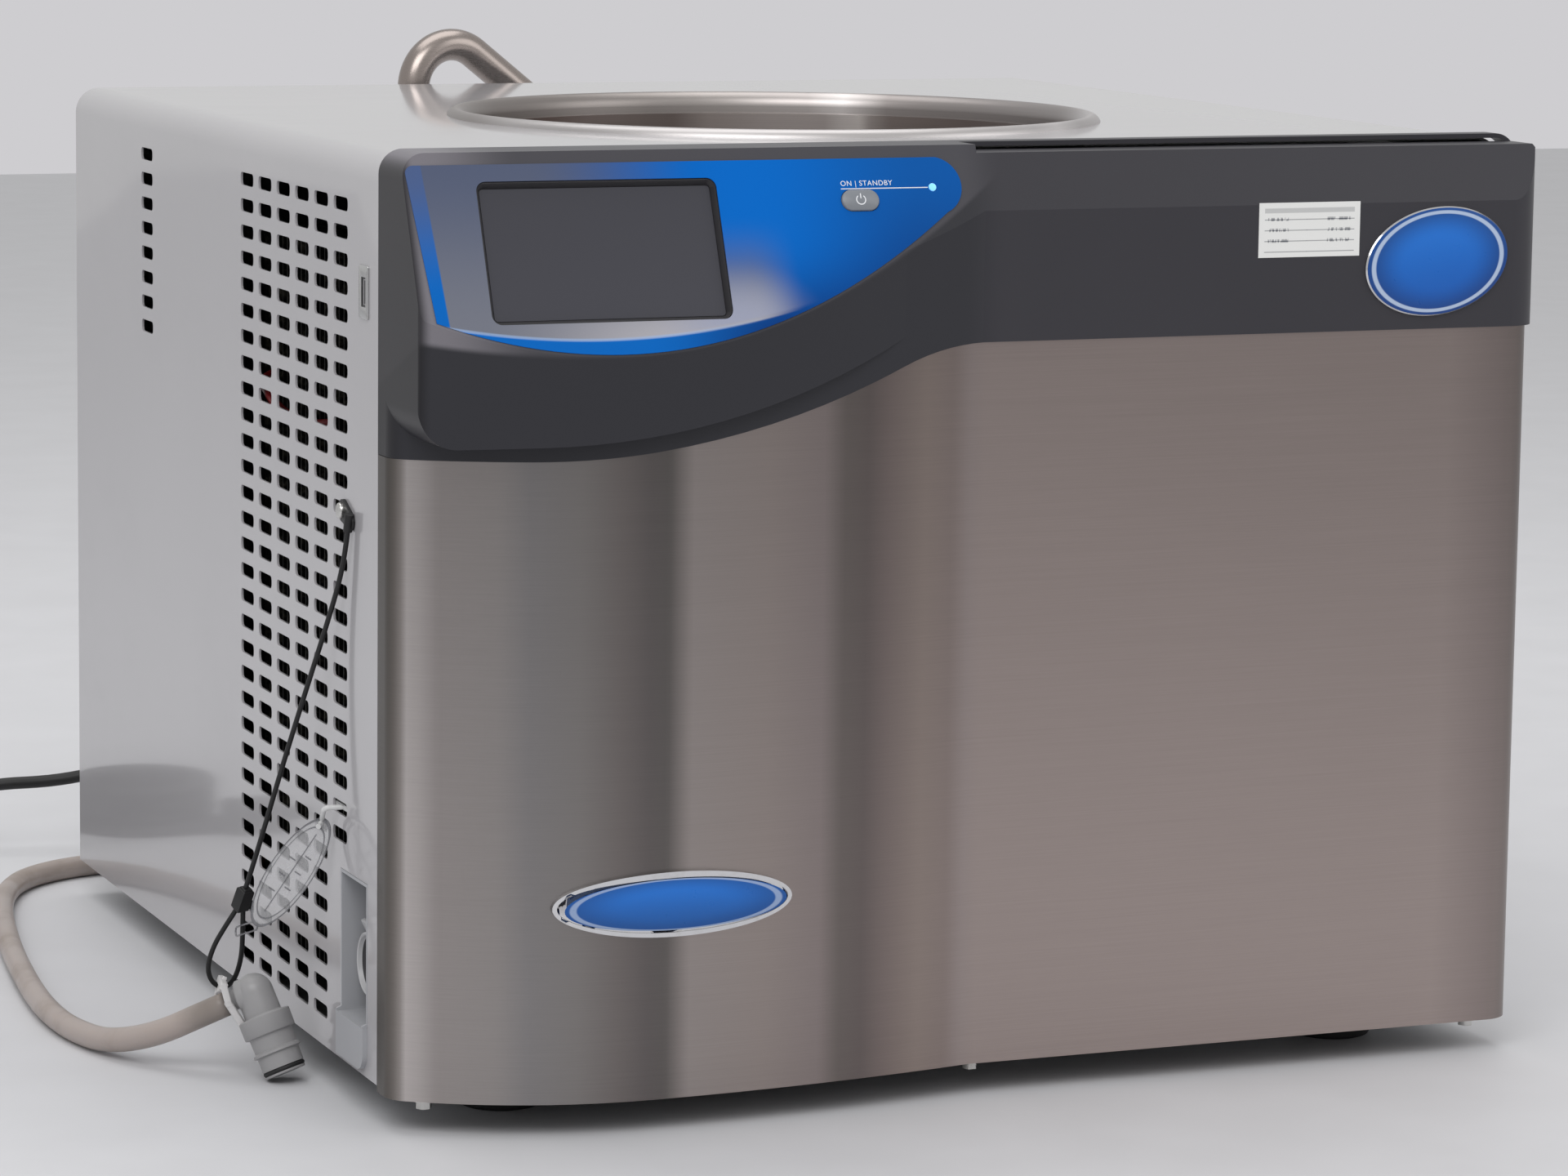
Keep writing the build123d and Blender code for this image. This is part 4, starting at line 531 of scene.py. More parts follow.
@dataclass(frozen=True)
class Moulded(Finish):
    """Moulded plastic or painted casting with a fine texture."""

    colour: Colour = (90, 91, 94)
    rough: float = 0.42
    pitch: float = 1500.0
    depth: float = 0.12
    coat: float = 0.0

    def paint(self, shader: Shader) -> None:
        """Paints with moulded texture and a faint mottle."""
        texture = shader.noise((self.pitch,) * 3, 2.0)
        mottle = shader.noise((14.0, 14.0, 14.0), 3.0)
        shader.finish(
            Base_Color=shader.shade(linear(*self.colour), 0.95 + 0.1 * mottle),
            Roughness=self.rough + 0.08 * (mottle - 0.5),
            Coat_Weight=self.coat,
            Coat_Roughness=0.15,
            Normal=shader.bump(texture, self.depth, 0.0003),
        )


@dataclass(frozen=True)
class BezelMoulding(Finish):
    """Dark grey moulding with painted shade below the film, on the right band and darkest on its left side
    face, and a painted highlight on the left of the upper face.
    """

    rough: float = 0.4
    # Curve that bounds the painted shade below the film.
    sweep_from: float = 96.0
    sweep: float = 0.00196
    curl_to: float = 0.92
    curl: float = 12.0

    def paint(self, shader: Shader) -> None:
        """Paints the moulding's painted shade and highlight tones with a fine spark texture."""
        texture = shader.noise((1700.0,) * 3, 2.0)
        mottle = shader.noise((10.0, 10.0, 10.0), 3.0)
        u, rise = shader.on_face()
        # Painted shade darkens the face below the curve, the right band and the left side face; a painted
        # highlight lightens the upper face towards the left.
        beyond = (u - self.sweep_from).larger(0.0)
        before = (self.curl_to - u / 100.0).larger(0.0)
        low = (rise - self.sweep * beyond * beyond - self.curl * before * before).drop(-1.0, 2.5)
        right = u.step(285.0, 310.0)
        cheek_painted_shade = u.drop(-1.0, 6.0)
        upper_face_painted_highlight = shader.mix(u.step(8.0, 60.0), linear(116, 113, 119), linear(68, 67, 72))
        face = shader.mix(low, upper_face_painted_highlight, linear(44, 44, 49))
        tone = shader.mix(right, face, linear(54, 53, 58))
        tone = shader.mix(cheek_painted_shade, tone, linear(26, 25, 29))
        shader.finish(
            Base_Color=shader.shade(tone, 0.95 + 0.1 * mottle),
            Roughness=self.rough + 0.08 * (mottle - 0.5),
            Specular_IOR_Level=0.28,
            Normal=shader.bump(texture, 0.1, 0.0003),
        )


@dataclass(frozen=True)
class PrintedFilm(Finish):
    """Printed membrane over the control face, blue round a slate field."""

    lowest: float = 92.0
    spread: float = 80.0
    low: float = 8.6
    bow: float = 8.0
    left: float = 14.0
    lean: float = 0.062
    # Middle and half size of the painted highlight's oval.
    painted_highlight_at: Span = (160.0, 14.0)
    painted_highlight_half: Span = (48.0, 36.0)

    def paint(self, shader: Shader) -> None:
        """Prints the border's blues and the field's greys by place on the face, with a painted highlight as a
        pale oval.
        """
        u, rise = shader.on_face()
        away = (u - self.lowest) / self.spread
        low_edge = self.low + self.bow * away * away
        left_edge = self.left - self.lean * (rise - 20.6)
        inside = (rise - low_edge).step(-0.5, 0.5) * (u - left_edge).step(-0.4, 0.4)
        inside = inside * u.drop(168.0, 196.0)
        line = (rise - low_edge - 0.2).size().drop(0.3, 1.1) * u.drop(120.0, 190.0)
        royal = shader.mix(rise.step(0.0, 95.0), linear(8, 44, 106), linear(12, 84, 160))
        bright = (u - 172.0).size().drop(5.0, 95.0) * rise.step(4.0, 60.0)
        royal = shader.mix(bright, royal, linear(2, 100, 190))
        border = shader.mix(u.drop(110.0, 190.0), royal, linear(8, 98, 182))
        border = shader.mix(u.drop(4.0, 70.0) * rise.step(30.0, 95.0), border, linear(74, 92, 132))
        slate = shader.mix(rise.step(10.0, 100.0), linear(112, 115, 126), linear(82, 90, 112))
        slate = shader.mix(rise.drop(4.0, 46.0) * u.step(30.0, 130.0), slate, linear(170, 168, 174))
        inner = shader.mix(u.step(60.0, 150.0) * rise.step(20.0, 70.0), slate, royal)
        # Painted highlight: a pale oval over the film stands in for a sheen.
        painted_highlight_u = (u - self.painted_highlight_at[0]) / self.painted_highlight_half[0]
        painted_highlight_rise = (rise - self.painted_highlight_at[1]) / self.painted_highlight_half[1]
        painted_highlight = ((painted_highlight_u * painted_highlight_u + painted_highlight_rise * painted_highlight_rise) ** 0.5).drop(0.1, 1.0)
        colour = shader.mix(inside, border, inner)
        colour = shader.mix(painted_highlight * 0.7 * (rise - low_edge).step(0.0, 2.5), colour, linear(148, 154, 178))
        colour = shader.mix(line * 0.6, colour, linear(150, 176, 214))
        shader.finish(
            Base_Color=colour,
            Roughness=0.46 + 0.05 * shader.noise((300.0,) * 3),
            Specular_IOR_Level=0.06,
        )


@dataclass(frozen=True)
class ScreenFace(Finish):
    """Dark antiglare screen behind its bezel."""

    colour: Colour = (50, 50, 59)

    def paint(self, shader: Shader) -> None:
        """Paints a dark screen with painted shade that darkens it towards the top."""
        _, _, up = shader.axes()
        # Painted shade: the glass darkens towards the top.
        painted_shade_by_height = (up - CAB.corner.z).step(0.37, 0.44)
        shader.finish(
            Base_Color=shader.mix(painted_shade_by_height, linear(*self.colour), linear(46, 46, 55)),
            Roughness=0.3 + 0.06 * shader.noise((900.0,) * 3),
            Coat_Weight=0.3,
            Coat_Roughness=0.25,
        )


@dataclass(frozen=True)
class Glow(Finish):
    """Lit lamp."""

    colour: Colour = (120, 190, 250)
    strength: float = 0.7

    def paint(self, shader: Shader) -> None:
        """Paints a lens that glows."""
        speck = shader.noise((2500.0,) * 3)
        shader.finish(
            Base_Color=shader.shade(linear(*self.colour), 0.9 + 0.2 * speck),
            Emission_Color=linear(*self.colour),
            Emission_Strength=self.strength,
            Roughness=0.2,
        )


@dataclass(frozen=True)
class HosePlastic(Finish):
    """Aged translucent tubing with faint extrusion streaks."""

    colour: Colour = (190, 178, 172)
    plug: Place = (-40.4, 119.6, 17.6)

    def paint(self, shader: Shader) -> None:
        """Paints the tube's beige with cloudy stains."""
        cloud = shader.noise((26.0, 26.0, 26.0), 4.0, 0.6)
        stain = cloud.step(0.42, 0.75)
        start = CAB.at(*self.plug)
        gap = shader.value("VectorMath", {"operation": "DISTANCE"}, {0: shader.place(), 1: start}, 1)
        near = gap.drop(0.012, 0.034)
        colour = shader.mix(stain, linear(*self.colour), linear(168, 154, 145))
        shader.finish(
            Base_Color=shader.mix(near * 0.6, colour, linear(128, 121, 115)),
            Roughness=0.28 + 0.12 * cloud,
            Transmission_Weight=0.25,
            Subsurface_Weight=0.2,
            Subsurface_Radius=(0.004, 0.003, 0.002),
            IOR=1.42,
        )


@dataclass(frozen=True)
class ClearSheet(Finish):
    """Clear plastic sheet with a few scuffs."""

    colour: Colour = (214, 216, 216)
    alpha: float = 0.42

    def paint(self, shader: Shader) -> None:
        """Paints a see-through sheet."""
        scuff = shader.noise((240.0, 60.0, 240.0), 4.0, 0.7)
        shader.finish(
            Base_Color=linear(*self.colour),
            Roughness=0.12 + 0.3 * scuff.step(0.5, 0.8),
            Alpha=self.alpha + 0.2 * scuff.step(0.55, 0.8),
            Specular_IOR_Level=0.8,
        )


@dataclass(frozen=True)
class RuledLabel(Finish):
    """White adhesive label with ruled lines for notes."""

    left: float = 447.5
    low: float = 399.3
    width: float = 57.0
    height: float = 27.5
    pitch: float = 5.4
    column: float = 27.0

    def paint(self, shader: Shader) -> None:
        """Prints a header band and thin rules."""
        u, rise = shader.on_front(self.left, self.low)
        margin = u.within(3.0, self.width - 3.0, 0.3)
        near = (rise.wrapped(self.pitch) - self.pitch / 2).size()
        rule = near.drop(0.14, 0.34) * margin
        rule = rule * rise.within(1.5, self.height - 6.7, 0.3)
        head = rise.within(self.height - 5.4, self.height - 2.7, 0.3)
        row = (rise / self.pitch).wrapped(1.0).within(0.34, 0.72, 0.06)
        jitter = shader.noise((900.0, 10.0, 190.0), 2.0).step(0.42, 0.5)
        first = u.step(5.0, 5.2) * u.drop(16.0, 17.0)
        last = u.within(38.0, self.width - 5.0, 1.0)
        words = row * jitter * (first + last) * rise.drop(self.height - 6.0, self.height - 5.8)
        bar = (u - self.column).size().drop(0.1, 0.25)
        ink = rule * 0.6 + head * margin * 0.35 + words * rise.step(5.6, 5.8) * 0.55 + bar * rule * 0.2
        shader.finish(
            Base_Color=shader.mix(ink, linear(226, 226, 224), linear(70, 74, 84)),
            Roughness=0.5 + 0.08 * shader.noise((500.0,) * 3),
        )


@dataclass(frozen=True)
class BadgeEnamel(Finish):
    """Domed blue enamel with plain pale rings."""

    centre: Span = (549.0, 395.5)
    half: Span = (41.0, 27.5)
    turn: float = 8.0
    colour: Colour = (8, 88, 176)
    # Blue at the top of the dome, a painted highlight.
    painted_highlight_colour: Colour = (24, 112, 206)
    rim: Colour = (10, 40, 96)
    pale: Colour = (190, 206, 228)
    ringed: float = 0.8

    def paint(self, shader: Shader) -> None:
        """Paints the dome and its rings by place on the oval, paler towards the top as a painted highlight
        and darker towards the rim.
        """
        du, dh = shader.on_front(*self.centre)
        angle = math.radians(self.turn)
        along = (du * math.cos(angle) + dh * math.sin(angle)) / self.half[0]
        over = (dh * math.cos(angle) - du * math.sin(angle)) / self.half[1]
        away = (along * along + over * over) ** 0.5
        ring = away.within(0.86, 0.94, 0.02)
        # Painted highlight: the blue pales towards the top of the dome.
        blue = shader.mix(over.step(-0.9, 0.9), linear(*self.colour), linear(*self.painted_highlight_colour))
        blue = shader.mix(away.step(0.45, 1.0) * 0.7, blue, linear(*self.rim))
        colour = shader.mix(ring * self.ringed, blue, linear(*self.pale))
        shader.finish(
            Base_Color=colour,
            Roughness=0.26 + 0.05 * shader.noise((200.0,) * 3),
            Specular_IOR_Level=0.3,
            Coat_Weight=0.25,
            Coat_Roughness=0.08,
        )


SIDE_PAINT = GlossPaint("cabinet_paint")
# Front steel: painted reflection stripes of the room across the bulge, and painted shade that darkens it
# towards the bottom.
FRONT_STEEL = BrushedSteel(
    "front_steel",
    painted_shade_by_height=0.34,
    painted_reflection_bands=(
        (0.0, (92, 88, 84)),
        (4.0, (128, 122, 118)),
        (7.0, (176, 170, 168)),
        (12.0, (168, 162, 160)),
        (20.0, (146, 140, 138)),
        (46.0, (142, 137, 135)),
        (60.0, (130, 127, 127)),
        (84.0, (128, 124, 122)),
        (104.0, (116, 110, 108)),
        (118.0, (103, 98, 97)),
        (128.0, (101, 97, 95)),
        (140.0, (150, 142, 139)),
        (180.0, (148, 138, 134)),
        (210.0, (138, 128, 126)),
        (221.0, (112, 105, 102)),
        (234.0, (108, 100, 98)),
        (246.0, (124, 113, 110)),
        (266.0, (142, 130, 124)),
        (282.0, (138, 126, 122)),
        (292.0, (152, 141, 138)),
        (300.0, (156, 144, 140)),
        (560.0, (154, 142, 138)),
        (590.0, (138, 127, 124)),
        (610.0, (120, 112, 108)),
    ),
)
POT_STEEL = SpunSteel("chamber_steel")
# Collar steel: painted reflection stripes by angle and a painted highlight on its near half.
COLLAR_STEEL = SpunSteel(
    "collar_steel",
    rough=0.34,
    near=0.45,
    painted_reflection_bands=(
        (0.0, (150, 145, 144)), (0.25, (146, 140, 138)), (0.3, (196, 191, 189)), (0.34, (166, 160, 158)),
        (0.45, (160, 154, 151)), (0.52, (144, 138, 135)), (0.75, (134, 128, 125)), (1.0, (156, 151, 149)),
    ),
)
TUBE_STEEL = BrushedSteel("tube_steel", colour=(158, 148, 143), grain=Grain.TOP, rough=0.26)
SHEET_ZINC = Plated("zinc_sheet", colour=(176, 178, 180), rough=0.34)
SCREW_ZINC = Plated("zinc_fastener", colour=(206, 205, 202), rough=0.24, stain=(160, 156, 146))
BRIGHT_RIM = Plated("bright_rim", colour=(214, 214, 216), rough=0.12, stained=0.15)
USB_STEEL = Plated("outlet_steel", colour=(196, 196, 196), rough=0.22, stained=0.2)
COPPER = Plated("copper_pipe", colour=(190, 112, 78), rough=0.3, stain=(110, 66, 48))
# Near-black fins and rotor: painted shade behind the slots.
FIN_METAL_PAINTED_SHADE = Plated("coil_fins", colour=(40, 40, 40), rough=0.5)
BEZEL = BezelMoulding("bezel_moulding")
FILM = PrintedFilm("overlay_film")
SCREEN = ScreenFace("screen_face")
BLACK_PLASTIC = Moulded("black_plastic", colour=(34, 34, 36), rough=0.45)
RECESS_WALL = Moulded("screen_surround", colour=(44, 43, 46), rough=0.5)
BUTTON_GREY = Moulded("button_cap", colour=(122, 126, 132), rough=0.36, depth=0.06)
LIGHT_PLASTIC = Moulded("pale_plastic", colour=(176, 176, 178), rough=0.36, depth=0.06)
RECESS_GREY = Moulded("pocket_plastic", colour=(166, 167, 171), rough=0.4, depth=0.06)
CREAM_PLASTIC = Moulded("tab_plastic", colour=(204, 202, 202), rough=0.4, depth=0.05)
PLUG_GREY = Moulded("plug_grey", colour=(150, 149, 150), rough=0.36, depth=0.06)
RUBBER = Moulded("black_rubber", colour=(24, 24, 25), rough=0.62, pitch=700.0)
CORD_BLACK = Moulded("cord_black", colour=(13, 13, 14), rough=0.5, pitch=900.0, depth=0.08)
PLANT_BLACK = Moulded("plant_black", colour=(22, 22, 23), rough=0.38, pitch=500.0)
FOAM = Moulded("black_foam", colour=(26, 26, 26), rough=0.9, pitch=350.0, depth=0.4)
BOARD = Moulded("circuit_board", colour=(26, 74, 44), rough=0.35)
INK_PALE = Moulded("pale_ink", colour=(226, 228, 232), rough=0.4, depth=0.0)
LEAD_RED = Moulded("red_lead", colour=(120, 20, 22), rough=0.4)
STUDIO_WHITE = Moulded("studio_white", colour=(210, 210, 213), rough=0.55, depth=0.0)
LED_GLOW = Glow("status_glow")
SCREEN_LABEL = RuledLabel("ruled_label")
PRODUCT_BLUE = BadgeEnamel("badge_enamel")
FRONT_BLUE = BadgeEnamel(
    "front_badge_enamel",
    centre=(132.0, 94.0),
    half=(59.3, 13.8),
    turn=0.0,
    colour=(16, 84, 158),
    rim=(14, 66, 130),
    ringed=0.5,
)
HOSE = HosePlastic("drain_hose_plastic")
TAG_CLEAR = ClearSheet("tag_clear", colour=(206, 206, 208), alpha=0.36)
TAG_EDGE = ClearSheet("tag_edge", colour=(112, 112, 117), alpha=0.6)
TAG_STRAP = ClearSheet("tag_strap", colour=(222, 222, 222), alpha=0.72)


# ---- Modelling -----------------------------------------------------------------------------------
class Form:
    """A mesh under construction."""

    def __init__(self) -> None:
        """Starts an empty form."""
        self.bm = bmesh.new()

    @classmethod
    def of_node(cls, node: str, flat: float = 0.4) -> "Form":
        """Copies a CAD node's mesh, merged, with its flat faces whole.

        Args:
            node: Name of the CAD node.
            flat: Largest angle in degrees that still counts as flat.

        Returns:
            The form.
        """
        form = cls()
        form.bm.from_mesh(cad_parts[node].data)
        bmesh.ops.remove_doubles(form.bm, verts=form.bm.verts, dist=0.02 * MM)
        bmesh.ops.dissolve_limit(
            form.bm,
            angle_limit=math.radians(flat),
            use_dissolve_boundaries=False,
            verts=form.bm.verts,
            edges=form.bm.edges,
            delimit=set(),
        )
        return form

    def slab(self, size: Place, edge: float, matrix: Matrix) -> "Form":
        """Adds a slab with softened edges.

        Args:
            size: Width, height and thickness in millimetres.
            edge: Radius of its front and back edges.
            matrix: Place of the slab's middle.

        Returns:
            This form.
        """
        made = bmesh.ops.create_cube(self.bm, size=1.0)["verts"]
        bmesh.ops.scale(self.bm, vec=Vector(size) * MM, verts=made)
        faces = {face for vert in made for face in vert.link_faces}
        rim = {
            link
            for face in faces
            if abs(face.normal.z) > 0.9
            for link in face.edges
        }
        if edge > 0:
            rounded = self.bevel(rim, edge, 3)
            faces = {face for face in faces if face.is_valid} | set(rounded)
        verts = list({vert for face in faces if face.is_valid for vert in face.verts})
        bmesh.ops.transform(self.bm, matrix=matrix, verts=verts)
        return self

    def bevel(self, edges: Iterable[bmesh.types.BMEdge], width: float, segments: int) -> List:
        """Rounds edges.

        Args:
            edges: Edges to round.
            width: Width of the rounding in millimetres.
            segments: Faces across it.

        Returns:
            The new faces.
        """
        return bmesh.ops.bevel(
            self.bm,
            geom=list(edges),
            offset=width * MM,
            offset_type="OFFSET",
            segments=segments,
            profile=0.5,
            affect="EDGES",
            clamp_overlap=True,
            material=-1,
        )["faces"]

    def soften(self, width: float, sharp: float = 40.0, segments: int = 2) -> "Form":
        """Rounds every edge that is sharper than an angle."""
        edges = [
            link
            for link in self.bm.edges
            if len(link.link_faces) == 2 and link.calc_face_angle(0.0) > math.radians(sharp)
        ]
        self.bevel(edges, width, segments)
        return self

    def lathe(self, profile: Sequence[Span], matrix: Matrix, steps: int = 64, closed: bool = False) -> "Form":
        """Turns a profile about the Z axis of a place.

        Args:
            profile: Radius and height of each point in millimetres.
            matrix: Place of the axis.
            steps: Faces round the axis.
            closed: Whether the profile's last point joins its first.

        Returns:
            This form.
        """
        verts = [self.bm.verts.new(Vector((radius, 0.0, rise)) * MM) for radius, rise in profile]
        pairs = list(zip(verts, verts[1:])) + ([(verts[-1], verts[0])] if closed else [])
        edges = [self.bm.edges.new(pair) for pair in pairs]
        before = set(self.bm.verts) - set(verts)
        bmesh.ops.spin(
            self.bm,
            geom=verts + edges,
            cent=(0, 0, 0),
            axis=(0, 0, 1),
            dvec=(0, 0, 0),
            angle=math.tau,
            steps=steps,
            use_merge=True,
            use_duplicate=False,
        )
        made = [vert for vert in self.bm.verts if vert not in before]
        bmesh.ops.remove_doubles(self.bm, verts=made, dist=0.001 * MM)
        made = [vert for vert in self.bm.verts if vert not in before]
        faces = list({face for vert in made for face in vert.link_faces})
        bmesh.ops.recalc_face_normals(self.bm, faces=faces)
        bmesh.ops.transform(self.bm, matrix=matrix, verts=made)
        return self

    def build(self, name: str, finish: Finish, smooth: float = 35.0) -> bpy.types.Object:
        """Makes the object.

        Args:
            name: Name of the piece.
            finish: What it is coated with.
            smooth: Largest angle in degrees that is shaded smooth.

        Returns:
            The object, at the origin.
        """
        mesh = bpy.data.meshes.new(name)
        self.bm.normal_update()
        self.bm.to_mesh(mesh)
        self.bm.free()
        mesh.shade_smooth()
        mesh.set_sharp_from_angle(angle=math.radians(smooth))
        mesh.materials.append(finish.material())
        return linked(name, mesh)


def linked(name: str, data: bpy.types.ID) -> bpy.types.Object:
    """Makes an object of its data and links it to the scene."""
    piece = bpy.data.objects.new(name, data)
    bpy.context.scene.collection.objects.link(piece)
    return piece


def oval_section(away: float, half: Span, steps: int) -> List[Span]:
    """Lists the points of an oval that a lathe turns into a ring.

    Args:
        away: Radius of the ring's middle in millimetres.
        half: Half the oval's width and height.
        steps: Number of points.

    Returns:
        Radius and height of each point.
    """
    turns = [step * math.tau / steps for step in range(steps)]
    return [(away + half[0] * math.cos(turn), half[1] * math.sin(turn)) for turn in turns]


def smooth_line(name: str, route: Sequence[Place], radius: float) -> bpy.types.Curve:
    """Draws a round line along a route.

    Args:
        name: Name of the curve.
        route: Points in the cabinet's millimetres.
        radius: Radius of the line in millimetres.

    Returns:
        The curve.
    """
    curve = bpy.data.curves.new(name, "CURVE")
    curve.dimensions = "3D"
    curve.resolution_u = 6
    curve.bevel_depth = radius * MM
    spline = curve.splines.new("NURBS")
    spline.points.add(len(route) - 1)
    for point, place in zip(spline.points, route):
        point.co = (*CAB.at(*place), 1.0)
    spline.order_u = 3
    spline.use_endpoint_u = True
    return curve


def settle(piece: bpy.types.Object, body: Body, slot: str, *nodes: str) -> bpy.types.Object:
    """Makes a piece ride and hides what it stands for.

    Args:
        piece: The piece.
        body: Body that carries it.
        slot: Material slot of the record; not used.
        *nodes: CAD nodes that it replaces.

    Returns:
        The piece.
    """
    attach(piece, body.value)
    if nodes:
        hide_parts(*nodes)
    LOG.info("%s rides on %s", piece.name, body.value)
    return piece


def dress(
    node: str,
    finish: Finish,
    slot: str,
    width: float = 0.0,
    body: Body = Body.MACHINE,
    smooth: float = 35.0,
) -> bpy.types.Object:
    """Replaces a CAD node by a merged copy with softened edges.

    Args:
        node: Name of the CAD node.
        finish: What it is coated with.
        slot: Material slot of the record.
        width: Width of the softened edges in millimetres.
        body: Body that carries it.
        smooth: Largest angle in degrees that is shaded smooth.

    Returns:
        The piece.
    """
    form = Form.of_node(node)
    if width > 0:
        form.soften(width)
    return settle(form.build(node + "_look", finish, smooth), body, slot, node)


def coat(finish: Finish, *nodes: str) -> None:
    """Gives CAD nodes a finish and leaves their shape.

    Args:
        finish: What they are coated with.
        *nodes: Names of the CAD nodes.
    """
    for node in nodes:
        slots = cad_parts[node].data.materials
        slots.clear()
        slots.append(finish.material())
        LOG.info("%s coated with %s", node, finish.name)


# ---- Cabinet -------------------------------------------------------------------------------------
@dataclass
class SheetShell:
    """Top and sides of the cabinet, one folded sheet with slots."""

    width: float = 610.0
    depth: float = 574.0
    height: float = DECK_H
    edge: float = 14.0
    sheet: float = 1.2
    slot: Span = (23.2, 6.7)
    slot_corner: float = 2.2
    pitch: Span = (32.45, 13.637)
    first: Span = (222.5, 427.0)
    columns: Tuple[int, ...] = (31, 31, 31, 31, 31, 24)
    rear_column: Tuple[float, int] = (418.4, 8)
    mouth: float = 168.8
    pocket: Tuple[Span, Span] = ((37.0, 60.0), (43.8, 73.8))

    @staticmethod
    def outline(form: Form, middle: Span, size: Span, corner: float = 0.0) -> List[bmesh.types.BMEdge]:
        """Adds a rounded opening's outline on the left side.

        Args:
            form: Form to add to.
            middle: Depth and height of the opening's middle.
            size: Its length and height.
            corner: Radius of its corners.

        Returns:
            The edges.
        """
        half_v, half_h = size[0] / 2 - corner, size[1] / 2 - corner
        verts = []
        for sign_v, sign_h, start in ((1, 1, 0), (-1, 1, 90), (-1, -1, 180), (1, -1, 270)):
            for turn in ((start, start + 45, start + 90) if corner > 0 else (start,)):
                angle = math.radians(turn)
                v = middle[0] + sign_v * half_v + corner * math.cos(angle)
                h = middle[1] + sign_h * half_h + corner * math.sin(angle)
                verts.append(form.bm.verts.new(CAB.at(0.0, v, h)))
        return [form.bm.edges.new(pair) for pair in zip(verts, verts[1:] + verts[:1])]

    def slots(self) -> List[Span]:
        """Lists the middles of the left side's slots."""
        columns = [(self.first[0] - self.pitch[0] * column, rows) for column, rows in enumerate(self.columns)]
        columns.append(self.rear_column)
        return [(v, self.first[1] - self.pitch[1] * row) for v, rows in columns for row in range(rows)]

    def build(self) -> bpy.types.Object:
        """Folds the sheet.

        Returns:
            The piece.
        """
        form = Form()
        bm = form.bm
        wall_top = self.height - self.edge
        side = [bm.verts.new(CAB.at(0.0, v, h)) for v, h in
                ((0.0, 0.0), (self.depth, 0.0), (self.depth, wall_top), (0.0, wall_top))]
        rim = [bm.edges.new(pair) for pair in zip(side, side[1:] + side[:1])]
        holes = []
        for middle in self.slots():
            holes += self.outline(form, middle, self.slot, self.slot_corner)
        holes += self.outline(form, *self.pocket)
        bmesh.ops.triangle_fill(bm, use_beauty=True, use_dissolve=False, edges=rim + holes, normal=(-1, 0, 0))
        upper = [link for link in rim if all(vert in side[2:] for vert in link.verts)]
        front, back = self.fold(bm, upper, CAB.at(self.edge, 0.0, wall_top))
        top_right = [bm.verts.new(CAB.at(self.width - self.edge, v, self.height)) for v in (0.0, self.depth)]
        mouth = bmesh.ops.create_circle(
            bm,
            cap_ends=False,
            segments=96,
            radius=self.mouth * MM,
            matrix=Matrix.Translation(CAB.at(*CHAMBER_AXIS, self.height)),
        )["verts"]
        ring = list({link for vert in mouth for link in vert.link_edges})
        corners = [front, top_right[0], top_right[1], back]
        pairs = zip(corners, corners[1:] + corners[:1])
        top_rim = [bm.edges.get(pair) or bm.edges.new(pair) for pair in pairs]
        deck = top_rim + ring
        bmesh.ops.triangle_fill(bm, use_beauty=True, use_dissolve=False, edges=deck, normal=(0, 0, 1))
        right_edge = bm.edges.get(top_right)
        front, back = self.fold(bm, [right_edge], CAB.at(self.width - self.edge, 0.0, wall_top))
        made = bmesh.ops.extrude_edge_only(bm, edges=[bm.edges.get((front, back))])["geom"]
        verts = [item for item in made if isinstance(item, bmesh.types.BMVert)]
        bmesh.ops.translate(bm, vec=Vector((0, 0, -wall_top * MM)), verts=verts)
        bmesh.ops.recalc_face_normals(bm, faces=bm.faces)
        middle = CAB.at(self.width / 2, self.depth / 2, self.height / 2)
        outward = sum(face.normal.dot(face.calc_center_median() - middle) for face in bm.faces)
        if outward < 0:
            bmesh.ops.reverse_faces(bm, faces=bm.faces)
        bmesh.ops.solidify(bm, geom=list(bm.faces), thickness=self.sheet * MM)
        piece = form.build("cabinet_shell_look", SIDE_PAINT, 30.0)
        return settle(piece, Body.MACHINE, "paint", "cabinet_shell")

    @staticmethod
    def fold(bm: bmesh.types.BMesh, edges: List, centre: Vector) -> Tuple:
        """Bends the sheet by a quarter turn from an edge.

        Args:
            bm: The mesh.
            edges: The edge to fold from.
            centre: A point on the fold's axis.

        Returns:
            The front and back points at the fold's end.
        """
        made = bmesh.ops.spin(
            bm,
            geom=edges + list({vert for link in edges for vert in link.verts}),
            cent=centre,
            axis=(0, 1, 0),
            dvec=(0, 0, 0),
            angle=math.pi / 2,
            steps=10,
            use_merge=False,
            use_duplicate=False,
        )["geom_last"]
        last = [item for item in made if isinstance(item, bmesh.types.BMVert)]
        return tuple(sorted(last, key=lambda vert: vert.co.y))


@dataclass
class Housing:
    """Cabinet with its steel front, pan, feet and rear."""

    feet: Tuple[str, ...] = ("foot_front_left", "foot_front_right", "foot_rear_left", "foot_rear_right")

    def build(self) -> None:
        """Builds the housing's pieces."""
        SheetShell().build()
        dress("front_panel", FRONT_STEEL, "steel")
        dress("rear_panel", SHEET_ZINC, "zinc_sheet")
        dress("base_pan", SHEET_ZINC, "zinc_sheet")
        dress("panel_screws", SCREW_ZINC, "zinc_fastener", 0.25)
        for foot in self.feet:
            dress(foot, RUBBER, "rubber", 0.5)


